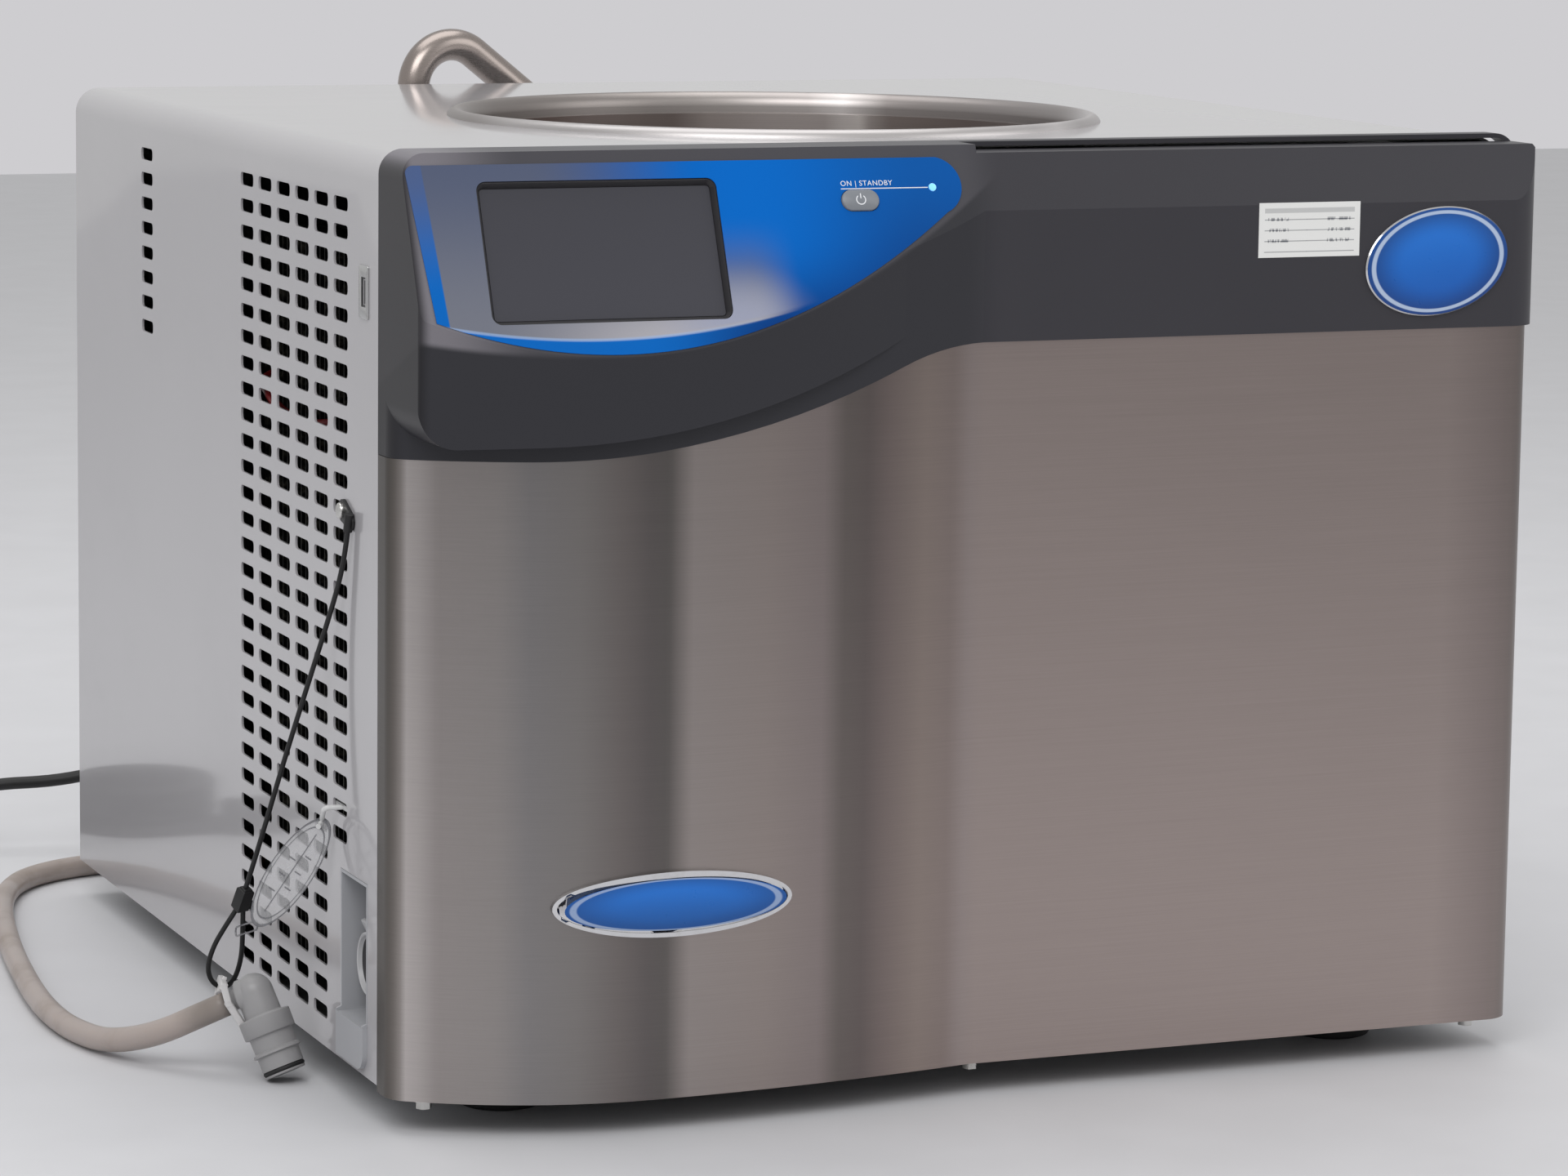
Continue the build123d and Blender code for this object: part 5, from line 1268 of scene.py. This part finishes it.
# ---- Control panel -------------------------------------------------------------------------------
@dataclass
class ControlPanel:
    """Moulded bezel with its film, screen, key and lamp."""

    key: Span = (231.3, 75.5)
    key_top: float = 1.7
    film_top: float = 0.5
    words: Span = (222.0, 83.0)
    words_height: float = 2.6
    capital_share: float = 0.7
    rule: Place = (46.0, 0.45, 0.06)
    rule_at: Span = (245.0, 81.5)

    def text(self, name: str, words: str) -> bpy.types.Object:
        """Prints words on the film.

        Args:
            name: Name of the piece.
            words: What is printed.

        Returns:
            The piece.
        """
        curve = bpy.data.curves.new(name, "FONT")
        curve.body = words
        curve.size = self.words_height * MM / self.capital_share
        curve.extrude = 0.03 * MM
        curve.space_character = 1.1
        source = bpy.data.objects.new(name, curve)
        mesh = bpy.data.meshes.new_from_object(source)
        bpy.data.objects.remove(source)
        mesh.transform(CAB.face_matrix(*self.words, self.film_top + 0.04))
        mesh.materials.clear()
        mesh.materials.append(INK_PALE.material())
        return settle(linked(name, mesh), Body.MACHINE, "overlay_film")

    def symbol(self) -> bpy.types.Object:
        """Prints the power symbol on the key.

        Returns:
            The piece.
        """
        form = Form()
        place = CAB.face_matrix(*self.key, self.key_top + 0.02)
        profile = ((2.1, 0.0), (2.6, 0.0), (2.6, 0.08), (2.1, 0.08))
        form.lathe(profile, place, 40, True)
        cut = [vert for vert in form.bm.verts if self.above(place, vert.co)]
        bmesh.ops.delete(form.bm, geom=cut, context="VERTS")
        stroke = CAB.face_matrix(self.key[0], self.key[1] + 1.9, self.key_top + 0.06)
        form.slab((0.5, 2.6, 0.08), 0.0, stroke)
        return settle(form.build("power_symbol", INK_PALE), Body.BUTTON, "button_grey")

    @staticmethod
    def above(place: Matrix, point: Vector) -> bool:
        """Tells whether a point is in the symbol's gap."""
        local = place.inverted() @ point
        return local.y > 0 and abs(local.x) < 1.05 * MM

    def build(self) -> None:
        """Builds the control panel's pieces."""
        coat(BEZEL, "control_bezel")
        dress("overlay", FILM, "overlay_film")
        dress("display_module", RECESS_WALL, "black_plastic")
        dress("display_glass", SCREEN, "screen_glass")
        dress("power_button", BUTTON_GREY, "button_grey", body=Body.BUTTON)
        dress("status_led", LED_GLOW, "led", 0.3)
        coat(BOARD, "control_board")
        self.symbol()
        self.text("key_words", "ON | STANDBY")
        line = Form().slab(self.rule, 0.0, CAB.face_matrix(*self.rule_at, self.film_top + 0.05))
        settle(line.build("key_underline", INK_PALE), Body.MACHINE, "overlay_film")


@dataclass
class Badges:
    """Oval badges and a white note label."""

    @staticmethod
    def dome(node: str, finish: BadgeEnamel, slot: str, half: Span, rise: Span) -> None:
        """Builds an oval dome on a badge.

        Args:
            node: CAD node of the badge that it sits on.
            finish: What it is coated with, which has its middle and turn.
            slot: Material slot of the record.
            half: Half its width and height in millimetres.
            rise: Height of its rim and of its middle.
        """
        middle = CAB.at(finish.centre[0], 0.0, finish.centre[1])
        middle.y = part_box(node)[0].y
        low, high = rise
        profile = [(0.999, 0.0), (1.0, low * 0.6), (0.985, low)]
        profile += [(radius, low + (high - low) * (1 - radius**2)) for radius in (0.93, 0.8, 0.6, 0.4, 0.2)]
        profile += [(0.0, high)]
        axes = Matrix(((1, 0, 0), (0, 0, -1), (0, 1, 0))).to_4x4()
        turn = Matrix.Rotation(math.radians(finish.turn), 4, "Z")
        grow = Matrix.Diagonal((half[0], half[1], 1.0, 1.0))
        form = Form().lathe(profile, Matrix.Translation(middle) @ axes @ turn @ grow, 72)
        settle(form.build(node + "_dome", finish, 50.0), Body.MACHINE, slot)

    def build(self) -> None:
        """Builds the badges."""
        dress("product_badge", BRIGHT_RIM, "badge_blue")
        dress("front_badge", BRIGHT_RIM, "chrome")
        dress("inspection_label", SCREEN_LABEL, "label_white")
        self.dome("product_badge", PRODUCT_BLUE, "badge_blue", (40.4, 26.9), (0.3, 0.9))
        self.dome("front_badge", FRONT_BLUE, "chrome", (57.6, 12.6), (0.2, 0.6))


@dataclass
class SideFittings:
    """Outlet and drain pocket in the left side."""

    lip_top: float = 26.0
    mouth: Place = (22.4, 37.0, 52.0)
    funnel: Tuple[Span, ...] = (
        (13.2, -1.2), (13.2, 5.0), (13.8, 8.0), (15.4, 12.6), (16.0, 14.6), (15.8, 15.8), (15.0, 16.2),
        (14.2, 15.8), (13.2, 13.0), (12.4, 12.4), (12.2, 7.0), (10.8, 6.4), (10.6, 1.0), (12.0, 0.2),
        (12.0, -1.2),
    )
    # Profile of a thin dark sleeve of painted shade over the mouth's bore.
    bore_shade_profile: Tuple[Span, ...] = (
        (12.35, -1.0), (12.35, 12.5), (13.3, 13.3), (14.3, 15.2), (13.0, 13.0), (11.9, 12.3), (11.9, 6.0),
        (10.5, 5.8), (10.5, -1.0),
    )

    def recess(self) -> bpy.types.Object:
        """Lays the pocket's frame flush above its lip.

        Returns:
            The piece.
        """
        form = Form.of_node("drain_recess")
        for height in (self.lip_top, self.lip_top + 1.0):
            geom = form.bm.verts[:] + form.bm.edges[:] + form.bm.faces[:]
            level = CAB.at(0.0, 0.0, height)
            bmesh.ops.bisect_plane(form.bm, geom=geom, dist=1e-6, plane_co=level, plane_no=(0, 0, 1))
        flush = CAB.at(-0.1, 0.0, self.lip_top + 0.5)
        for vert in form.bm.verts:
            if vert.co.x < flush.x and vert.co.z > flush.z:
                vert.co.x = flush.x
        piece = form.build("drain_recess_look", RECESS_GREY, 20.0)
        return settle(piece, Body.MACHINE, "light_plastic", "drain_recess")

    def coupling_mouth(self) -> None:
        """Turns the flared mouth in front of the coupling, with its thumb tab and a thin dark sleeve of
        painted shade in its bore.
        """
        place = CAB.at(*self.mouth)
        outward = stand(place, Vector((-1.0, 0.0, 0.0)))
        form = Form().lathe(self.funnel, outward, 48, True)
        tab = Matrix.Translation(place + Vector((-13.0, 3.0, 17.0)) * MM)
        form.slab((2.4, 13.0, 9.0), 0.6, tab @ Matrix.Rotation(math.radians(-24), 4, "Y"))
        settle(form.build("coupling_mouth", LIGHT_PLASTIC), Body.MACHINE, "light_plastic")
        # Painted shade: a thin dark sleeve laid over the mouth's bore.
        bore_shade_sleeve = Form().lathe(self.bore_shade_profile, outward, 48, True)
        settle(bore_shade_sleeve.build("coupling_liner", RECESS_WALL), Body.MACHINE, "light_plastic")

    def build(self) -> None:
        """Builds the fittings."""
        dress("usb_plate", USB_STEEL, "usb_steel", 0.15)
        dress("usb_socket", BLACK_PLASTIC, "usb_steel")
        self.recess()
        dress("drain_coupling", LIGHT_PLASTIC, "light_plastic", 0.5)
        self.coupling_mouth()
        dress("drain_latch", USB_STEEL, "usb_steel", 0.2, Body.LATCH)


# ---- Chamber -------------------------------------------------------------------------------------
@dataclass
class Chamber:
    """Open collector chamber with its collar and cold coil."""

    collar: Tuple[Span, ...] = (
        (165.0, -20.0), (165.0, -4.0), (165.3, -1.6), (166.2, 0.4), (167.6, 2.2), (169.2, 3.4),
        (170.8, 4.0), (172.2, 3.9), (173.8, 3.1), (175.1, 1.8), (175.8, 0.6), (176.0, 0.0), (168.5, 0.0),
        (168.5, -20.0),
    )
    steps: int = 128

    def build(self) -> None:
        """Builds the chamber's pieces."""
        axis = Matrix.Translation(CAB.at(*CHAMBER_AXIS, DECK_H))
        form = Form().lathe(self.collar, axis, self.steps, True)
        settle(form.build("chamber_collar_look", COLLAR_STEEL), Body.MACHINE, "steel", "chamber_collar")
        dress("collector_pot", POT_STEEL, "steel")
        dress("evaporator_coil", POT_STEEL, "steel", 1.2)
        coat(FOAM, "insulation")
        coat(SHEET_ZINC, "chamber_stand")


@dataclass
class VacuumTube:
    """Bent steel tube behind the top, with its gland."""

    def build(self) -> None:
        """Builds the tube and gland."""
        dress("vacuum_tube", TUBE_STEEL, "steel")
        dress("vacuum_gland", RUBBER, "rubber")


@dataclass
class Plant:
    """Refrigeration plant and supply behind the slots."""

    lead: Tuple[Place, ...] = (
        (20.0, 228.0, 326.0), (7.5, 223.0, 324.0), (6.4, 206.0, 318.0), (6.2, 191.0, 313.0),
        (6.2, 174.0, 310.5), (6.2, 156.0, 309.0), (6.4, 140.0, 309.2), (7.5, 125.0, 310.0),
        (20.0, 118.0, 312.0),
    )
    lead_radius: float = 2.6

    def build(self) -> None:
        """Builds the plant's pieces."""
        # The coil and fan rotor are near black as painted shade behind the slots.
        coat(FIN_METAL_PAINTED_SHADE, "condenser_coil", "fan_rotor")
        coat(SHEET_ZINC, "fan_shroud", "power_supply")
        coat(PLANT_BLACK, "fan_motor", "compressor_high", "compressor_low")
        coat(FOAM, "heat_exchanger")
        coat(COPPER, "filter_drier", "liquid_line", "suction_line")
        coat(LIGHT_PLASTIC, "drain_line")
        curve = smooth_line("fan_lead", self.lead, self.lead_radius)
        curve.materials.append(LEAD_RED.material())
        settle(linked("fan_lead", curve), Body.MACHINE, "cord_black")


# ---- Cords ---------------------------------------------------------------------------------------
@dataclass
class FreeCord:
    """A cord, cable or hose on one smooth line."""

    name: str
    route: Sequence[Place]
    radius: float
    finish: Finish
    slot: str
    node: Tuple[str, ...]
    wall: float = 0.0

    def build(self) -> bpy.types.Object:
        """Lays the cord along its route.

        Returns:
            The curve.
        """
        curve = smooth_line(self.name, self.route, self.radius)
        curve.bevel_resolution = 5
        curve.use_fill_caps = self.wall == 0.0
        curve.materials.append(self.finish.material())
        piece = linked(self.name, curve)
        if self.wall > 0:
            shell = piece.modifiers.new("wall", "SOLIDIFY")
            shell.thickness = self.wall * MM
            shell.offset = -1.0
        return settle(piece, Body.MACHINE, self.slot, *self.node)

    def length(self) -> float:
        """Measures the line in metres."""
        curve = bpy.data.objects[self.name].data.copy()
        curve.bevel_depth = 0.0
        curve.resolution_u = 24
        probe = bpy.data.objects.new("probe", curve)
        mesh = bpy.data.meshes.new_from_object(probe)
        places = [vert.co.copy() for vert in mesh.vertices]
        bpy.data.objects.remove(probe)
        bpy.data.meshes.remove(mesh)
        return sum((second - first).length for first, second in zip(places, places[1:]))


# Height of the hose's line where it lies on the bench
LIE = -13.6


@dataclass
class DrainPlug:
    """Elbow plug with its collar, O-ring, barb and the tab that the lanyard threads."""

    elbow: Place = (-28.7, 113.0, 23.85)
    nose: Vector = field(default_factory=lambda: unit(0.275, -0.34, -0.899))
    outlet: Vector = field(default_factory=lambda: unit(-0.797, 0.448, -0.411))
    strap: Tuple[Place, ...] = (
        (-39.0, 138.5, 25.5), (-45.0, 112.0, 28.0), (-43.0, 110.8, 19.5), (-35.8, 110.0, 8.0),
    )
    hole: Place = (-38.4, 143.6, 20.4)
    tab_across: Vector = field(default_factory=lambda: unit(0.914, -0.259, -0.312))
    ring_at: float = 41.4
    dome_radius: float = 9.6
    sleeve: Tuple[Span, ...] = (
        (9.7, 11.8), (10.2, 12.4), (12.8, 12.6), (13.5, 13.2), (13.4, 21.6), (12.9, 22.3), (11.5, 22.5),
        (11.3, 23.2), (11.1, 30.2), (11.6, 30.8), (12.5, 31.0), (12.6, 32.2), (11.6, 32.6), (11.0, 33.0),
        (10.9, 40.2), (9.4, 40.4), (9.4, 42.4), (10.6, 42.6), (10.5, 43.4), (10.1, 43.8), (7.4, 43.8),
        (7.2, 43.4), (7.2, 30.0), (0.0, 30.0),
    )
    barb: Tuple[Span, ...] = (
        (0.0, 0.0), (8.8, 0.0), (8.8, 7.6), (8.2, 8.4), (5.2, 8.6), (5.2, 17.0), (4.2, 17.4), (4.2, 12.0),
        (0.0, 12.0),
    )
    eyelet: Tuple[Span, ...] = (
        (3.2, -0.9), (3.4, -1.1), (5.7, -1.1), (6.1, -0.8), (6.1, 0.8), (5.7, 1.1), (3.4, 1.1), (3.2, 0.9),
    )

    def body(self) -> bpy.types.Object:
        """Turns the elbow, nose and outlet.

        Returns:
            The piece.
        """
        place = CAB.at(*self.elbow)
        turns = [turn * math.pi / 16 for turn in range(1, 9)]
        dome = [(self.dome_radius * math.sin(turn), -self.dome_radius * math.cos(turn)) for turn in turns]
        profile = [(0.0, -self.dome_radius), *dome, *self.sleeve]
        form = Form().lathe(profile, stand(place, self.nose), 56)
        form.lathe(self.barb, stand(place, self.outlet), 40)
        return settle(form.build("drain_plug_look", PLUG_GREY), Body.MACHINE, "plug_grey", "drain_plug")

    def tab(self) -> bpy.types.Object:
        """Cuts the thin tab that the lanyard threads.

        Returns:
            The piece.
        """
        hole = CAB.at(*self.hole)
        toward = CAB.at(*self.elbow) - hole
        way = (toward - self.tab_across * toward.dot(self.tab_across)).normalized()
        place = Matrix.Translation(hole) @ turned(way, self.tab_across.cross(way), self.tab_across)
        form = Form().lathe(self.eyelet, place, 40, True)
        form.slab((14.0, 8.0, 2.4), 0.3, place @ Matrix.Translation((11.5 * MM, 0.0, 0.0)))
        for start, end in zip(self.strap, self.strap[1:]):
            start, end = CAB.at(*start), CAB.at(*end)
            along = (end - start).normalized()
            flat = (self.tab_across - along * self.tab_across.dot(along)).normalized()
            middle = Matrix.Translation((start + end) / 2)
            size = ((end - start).length / MM + 3.0, 3.6, 3.6)
            form.slab(size, 0.6, middle @ turned(along, flat.cross(along), flat))
        return settle(form.build("drain_plug_tab", CREAM_PLASTIC), Body.MACHINE, "plug_grey")

    def build(self) -> None:
        """Builds the plug."""
        self.body()
        self.tab()
        place = CAB.at(*self.elbow) + self.nose * self.ring_at * MM
        form = Form().lathe(oval_section(9.5, (1.5, 1.35), 14), stand(place, self.nose), 56, True)
        settle(form.build("drain_plug_oring_look", RUBBER), Body.MACHINE, "rubber", "drain_plug_oring")


@dataclass
class Lanyard:
    """Black cable from the side's clip to the drain plug."""

    route: Tuple[Place, ...] = (
        (-2.6, 40.0, 268.0), (-3.2, 44.4, 250.0), (-6.5, 60.5, 220.0), (-12.0, 80.0, 182.0),
        (-18.5, 97.0, 143.0), (-25.5, 111.5, 103.0), (-30.5, 124.5, 73.0), (-32.9, 129.4, 64.0),
        (-37.6, 134.2, 54.3), (-42.6, 139.6, 42.8), (-45.0, 143.4, 30.8), (-41.8, 144.6, 22.2),
        (-35.4, 143.0, 19.6), (-31.0, 140.0, 24.8), (-28.6, 136.4, 36.9), (-29.1, 132.7, 49.9),
        (-30.1, 128.6, 63.1),
    )
    radius: float = 1.3

    def crimp(self) -> bpy.types.Object:
        """Moulds the block that closes the loop.

        Returns:
            The piece.
        """
        low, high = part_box("lanyard_crimp")
        way = (CAB.at(*self.route[5]) - CAB.at(*self.route[7])).normalized()
        place = stand((Vector(low) + Vector(high)) / 2, way)
        form = Form().slab((6.8, 6.4, 12.6), 1.0, place).slab((5.2, 4.8, 14.4), 0.8, place)
        piece = form.build("lanyard_crimp_look", CORD_BLACK)
        return settle(piece, Body.MACHINE, "cord_black", "lanyard_crimp")

    def build(self) -> None:
        """Builds the lanyard, its clip and crimp, and the plug on it."""
        clip = dress("lanyard_clip", CORD_BLACK, "cord_black", 0.2)
        screw = dress("lanyard_screw", SCREW_ZINC, "zinc_fastener")
        crimp = self.crimp()
        DrainPlug().build()
        cable = FreeCord("lanyard", self.route, self.radius, CORD_BLACK, "cord_black", ("lanyard_cable",))
        piece = cable.build()
        cable.length()
        2 * self.radius * MM


@dataclass
class DrainHose:
    """Aged hose from the plug's barb round to the back."""

    route: Tuple[Place, ...] = (
        (-40.4, 119.6, 17.6), (-51.5, 126.8, 11.2), (-71.0, 146.0, -2.6), (-88.0, 176.0, -12.0),
        (-97.0, 213.0, LIE), (-99.0, 255.0, LIE), (-96.0, 300.0, LIE), (-90.0, 350.0, LIE),
        (-83.0, 402.0, LIE), (-74.0, 455.0, LIE), (-64.0, 505.0, LIE), (-52.0, 550.0, LIE),
        (-33.0, 590.0, LIE), (-2.0, 615.0, LIE), (38.0, 625.0, LIE), (80.0, 622.0, LIE),
        (118.0, 611.0, LIE), (156.0, 602.0, LIE), (196.0, 599.0, LIE),
    )
    radius: float = 6.35
    wall: float = 1.6

    def build(self) -> None:
        """Builds the hose."""
        hose = FreeCord("drain_tube", self.route, self.radius, HOSE, "hose", ("drain_hose",), self.wall)
        piece = hose.build()
        hose.length()
        2 * self.radius * MM


@dataclass
class Tag:
    """Clear tag on a frosted strap."""

    centre: Place = (-20.0, 78.6, 91.6)
    along: Vector = field(default_factory=lambda: unit(-0.425, 0.372, -0.824))
    normal: Vector = field(default_factory=lambda: unit(-0.515, -0.849, -0.116))
    half: Span = (11.0, 34.5)
    loop: Place = (-33.6, 110.5, 57.5)
    loop_reach: float = 17.0
    loop_fall: float = 0.3
    ribs: Tuple[Tuple[float, float, float, float], ...] = (
        (0.0, 0.0, 0.5, 50.0), (-3.2, -12.0, 3.6, 0.6), (-3.2, -2.0, 3.6, 0.6), (-3.2, 8.0, 3.6, 0.6),
        (3.2, -7.0, 3.6, 0.6), (3.2, 3.0, 3.6, 0.6), (3.2, 13.0, 3.6, 0.6),
    )

    def build(self) -> None:
        """Builds the tag."""
        turn = turned(self.along.cross(self.normal), self.along, self.normal)
        place = Matrix.Translation(CAB.at(*self.centre)) @ turn
        grow = Matrix.Diagonal((self.half[0] / self.half[1], 1.0, 1.0, 1.0))
        half = self.half[1]
        sheet = ((0.0, -0.3), (half - 1.0, -0.3), (half - 1.0, 0.3), (0.0, 0.3))
        form = Form().lathe(sheet, place @ grow, 72)
        settle(form.build("tag_look", TAG_CLEAR), Body.MACHINE, "tag_clear", "tag")
        rim = Form()
        for outer, inner in ((half, half - 1.7), (half - 5.2, half - 6.0)):
            profile = ((inner, -0.55), (outer, -0.55), (outer, 0.55), (inner, 0.55))
            rim.lathe(profile, place @ grow, 72, True)
        for across, over, width, height in self.ribs:
            rib = Matrix.Translation(Vector((across, over, 0.42)) * MM)
            rim.slab((width, height, 0.3), 0.0, place @ rib)
        settle(rim.build("tag_rim", TAG_EDGE), Body.MACHINE, "tag_clear")
        self.threaded_loop()
        dress("tag_strap", TAG_STRAP, "label_white")

    def threaded_loop(self) -> None:
        """Bends the thin loop that holds the tag to the lanyard."""
        middle = CAB.at(*self.loop)
        ring = oval_section(2.4, (0.5, 0.5), 10)
        form = Form().lathe(ring, stand(middle, Vector((1.0, 0.0, 0.0))), 40, True)
        for vert in form.bm.verts:
            beside = (vert.co.y - middle.y) / MM
            vert.co.y += math.copysign(self.loop_reach, beside) * MM if abs(beside) > 0.4 else 0.0
            vert.co.z -= (vert.co.y - middle.y) * self.loop_fall
        settle(form.build("tag_loop", TAG_EDGE), Body.MACHINE, "tag_clear")


@dataclass
class MainsCord:
    """Mains cord with its connector, stored coil and plug."""

    run: Tuple[Place, ...] = (
        (72.0, 636.6, 42.0), (72.0, 662.0, 40.0), (56.0, 688.0, 32.0), (20.0, 702.0, 22.5),
        (-22.0, 708.0, 22.0), (-48.0, 715.0, 14.0), (-62.0, 718.6, 8.2),
    )
    radius: float = 3.75
    middle: Span = (-88.0, 763.75)
    turns: Tuple[Span, ...] = (
        (44.75, 6.25), (37.25, 6.25), (37.25, -1.25), (44.75, -1.25),
        (44.75, -8.75), (37.25, -8.75), (37.25, -16.25), (44.75, -16.25),
    )
    per_turn: int = 16
    blend: float = 0.16
    tail: Tuple[Place, ...] = ((-88.0, 719.0, -15.6), (-103.0, 719.0, -14.9), (-118.0, 719.0, -14.5))
    tie_section: Tuple[Span, ...] = ((8.3, -2.5), (9.3, -2.5), (9.3, 2.5), (8.3, 2.5))
    tie_place: Place = (-47.0, 763.75, -5.0)

    def coil(self) -> List[Place]:
        """Works out the coil's turns.

        Returns:
            The points of the coil, clockwise from above.
        """
        points = []
        for step in range(1, len(self.turns) * self.per_turn):
            turn, part = divmod(step / self.per_turn, 1.0)
            here = self.turns[int(turn)]
            after = self.turns[min(int(turn) + 1, len(self.turns) - 1)]
            share = max(0.0, (part - (1.0 - 2 * self.blend)) / (2 * self.blend))
            share = share * share * (3 - 2 * share)
            away = here[0] + (after[0] - here[0]) * share
            rise = here[1] + (after[1] - here[1]) * share
            angle = -math.pi / 2 - math.tau * step / self.per_turn
            u = self.middle[0] + away * math.cos(angle)
            points.append((u, self.middle[1] + away * math.sin(angle), rise))
        return points

    def tie(self) -> bpy.types.Object:
        """Turns the band round the coil, flat where it lies on the bench.

        Returns:
            The piece.
        """
        upright = Matrix.Rotation(math.pi / 2, 4, "X") @ Matrix.Diagonal((1.0, 1.75, 1.0, 1.0))
        place = Matrix.Translation(CAB.at(*self.tie_place)) @ upright
        form = Form().lathe(self.tie_section, place, 32, True)
        for vert in form.bm.verts:
            vert.co.z = max(vert.co.z, 0.0)
        return settle(form.build("coil_tie", RUBBER), Body.MACHINE, "cord_black")

    def build(self) -> None:
        """Builds the cord, its connector, plug and tie."""
        connector = dress("power_connector", CORD_BLACK, "cord_black")
        plug = dress("power_plug", CORD_BLACK, "cord_black")
        route = [*self.run, *self.coil(), *self.tail]
        nodes = ("power_cord", "power_cord_coil")
        cord = FreeCord("mains_cord", route, self.radius, CORD_BLACK, "cord_black", nodes)
        piece = cord.build()
        band = self.tie()
        cord.length()
        2 * self.radius * MM
        coat(BLACK_PLASTIC, "power_inlet", "breaker_body", "breaker_rocker")


# ---- Studio --------------------------------------------------------------------------------------
@dataclass
class Studio:
    """Pale floor, soft light and the camera."""

    lens: float = 118.98
    place: Place = (-1.0599, -2.6369, 0.6440)
    yaw: float = 21.302
    pitch: float = 7.712
    roll: float = 0.591
    shift: Span = (0.05625, -0.05521)

    def camera(self) -> None:
        """Stands the camera."""
        yaw, pitch, roll = (math.radians(value) for value in (self.yaw, self.pitch, self.roll))
        forward = Vector((math.sin(yaw) * math.cos(pitch), math.cos(yaw) * math.cos(pitch), -math.sin(pitch)))
        right = Vector((math.cos(yaw), -math.sin(yaw), 0.0))
        over = right.cross(forward)
        across = math.cos(roll) * right + math.sin(roll) * over
        rise = -math.sin(roll) * right + math.cos(roll) * over
        data = bpy.data.cameras.new("studio_camera")
        data.lens = self.lens
        data.sensor_width = 36.0
        data.shift_x, data.shift_y = self.shift
        data.clip_end = 50.0
        camera = linked("studio_camera", data)
        camera.matrix_world = Matrix.Translation(self.place) @ turned(across, rise, -forward)
        bpy.context.scene.camera = camera

    @staticmethod
    def lamp(name: str, place: Vector, aim: Vector, size: Span, power: float) -> None:
        """Hangs a soft lamp.

        Args:
            name: Name of the lamp.
            place: Where it hangs.
            aim: Where it points.
            size: Its width and height in metres.
            power: Power in watts.
        """
        data = bpy.data.lights.new(name, "AREA")
        data.shape = "RECTANGLE"
        data.size, data.size_y = size
        data.energy = power
        turn = (aim - place).to_track_quat("-Z", "Y").to_matrix().to_4x4()
        linked(name, data).matrix_world = Matrix.Translation(place) @ turn

    @staticmethod
    def room() -> None:
        """Lays the floor and lights the world."""
        form = Form()
        bmesh.ops.create_grid(form.bm, x_segments=1, y_segments=1, size=6.0)
        form.build("studio_floor", STUDIO_WHITE)
        world = bpy.data.worlds.new("studio_world")
        world.use_nodes = True
        tree = world.node_tree
        tree.nodes.clear()
        path = tree.nodes.new("ShaderNodeLightPath")
        seen = tree.nodes.new("ShaderNodeMath")
        seen.operation = "MAXIMUM"
        soft = tree.nodes.new("ShaderNodeBackground")
        soft.inputs[0].default_value = (1.0, 1.0, 1.0, 1.0)
        soft.inputs[1].default_value = 0.62
        shown = tree.nodes.new("ShaderNodeBackground")
        shown.inputs[0].default_value = linear(206, 205, 208)
        mix = tree.nodes.new("ShaderNodeMixShader")
        out = tree.nodes.new("ShaderNodeOutputWorld")
        links = (
            (path.outputs["Is Camera Ray"], seen.inputs[0]),
            (path.outputs["Is Transmission Ray"], seen.inputs[1]),
            (seen.outputs[0], mix.inputs[0]),
            (soft.outputs[0], mix.inputs[1]),
            (shown.outputs[0], mix.inputs[2]),
            (mix.outputs[0], out.inputs[0]),
        )
        for source, target in links:
            tree.links.new(source, target)
        bpy.context.scene.world = world

    def build(self) -> None:
        """Sets up the studio."""
        self.camera()
        self.room()
        aim = Vector((0.0, 0.0, 0.25))
        self.lamp("key_lamp", Vector((-1.6, -2.2, 2.6)), aim, (2.4, 1.8), 46.0)
        self.lamp("fill_lamp", Vector((2.4, -1.8, 1.8)), aim, (2.0, 2.0), 16.0)
        self.lamp("top_lamp", Vector((0.0, 0.6, 2.8)), aim, (2.6, 2.0), 26.0)
        bpy.context.scene.view_settings.view_transform = "Standard"


def main() -> None:
    """Builds the dryer and its studio in order."""
    logging.basicConfig(level=logging.INFO, format="%(name)s: %(message)s")
    Studio().build()
    Lanyard().build()
    DrainHose().build()
    MainsCord().build()
    Tag().build()
    Housing().build()
    ControlPanel().build()
    Badges().build()
    SideFittings().build()
    Chamber().build()
    VacuumTube().build()
    Plant().build()


if __name__ == "__main__":
    main()
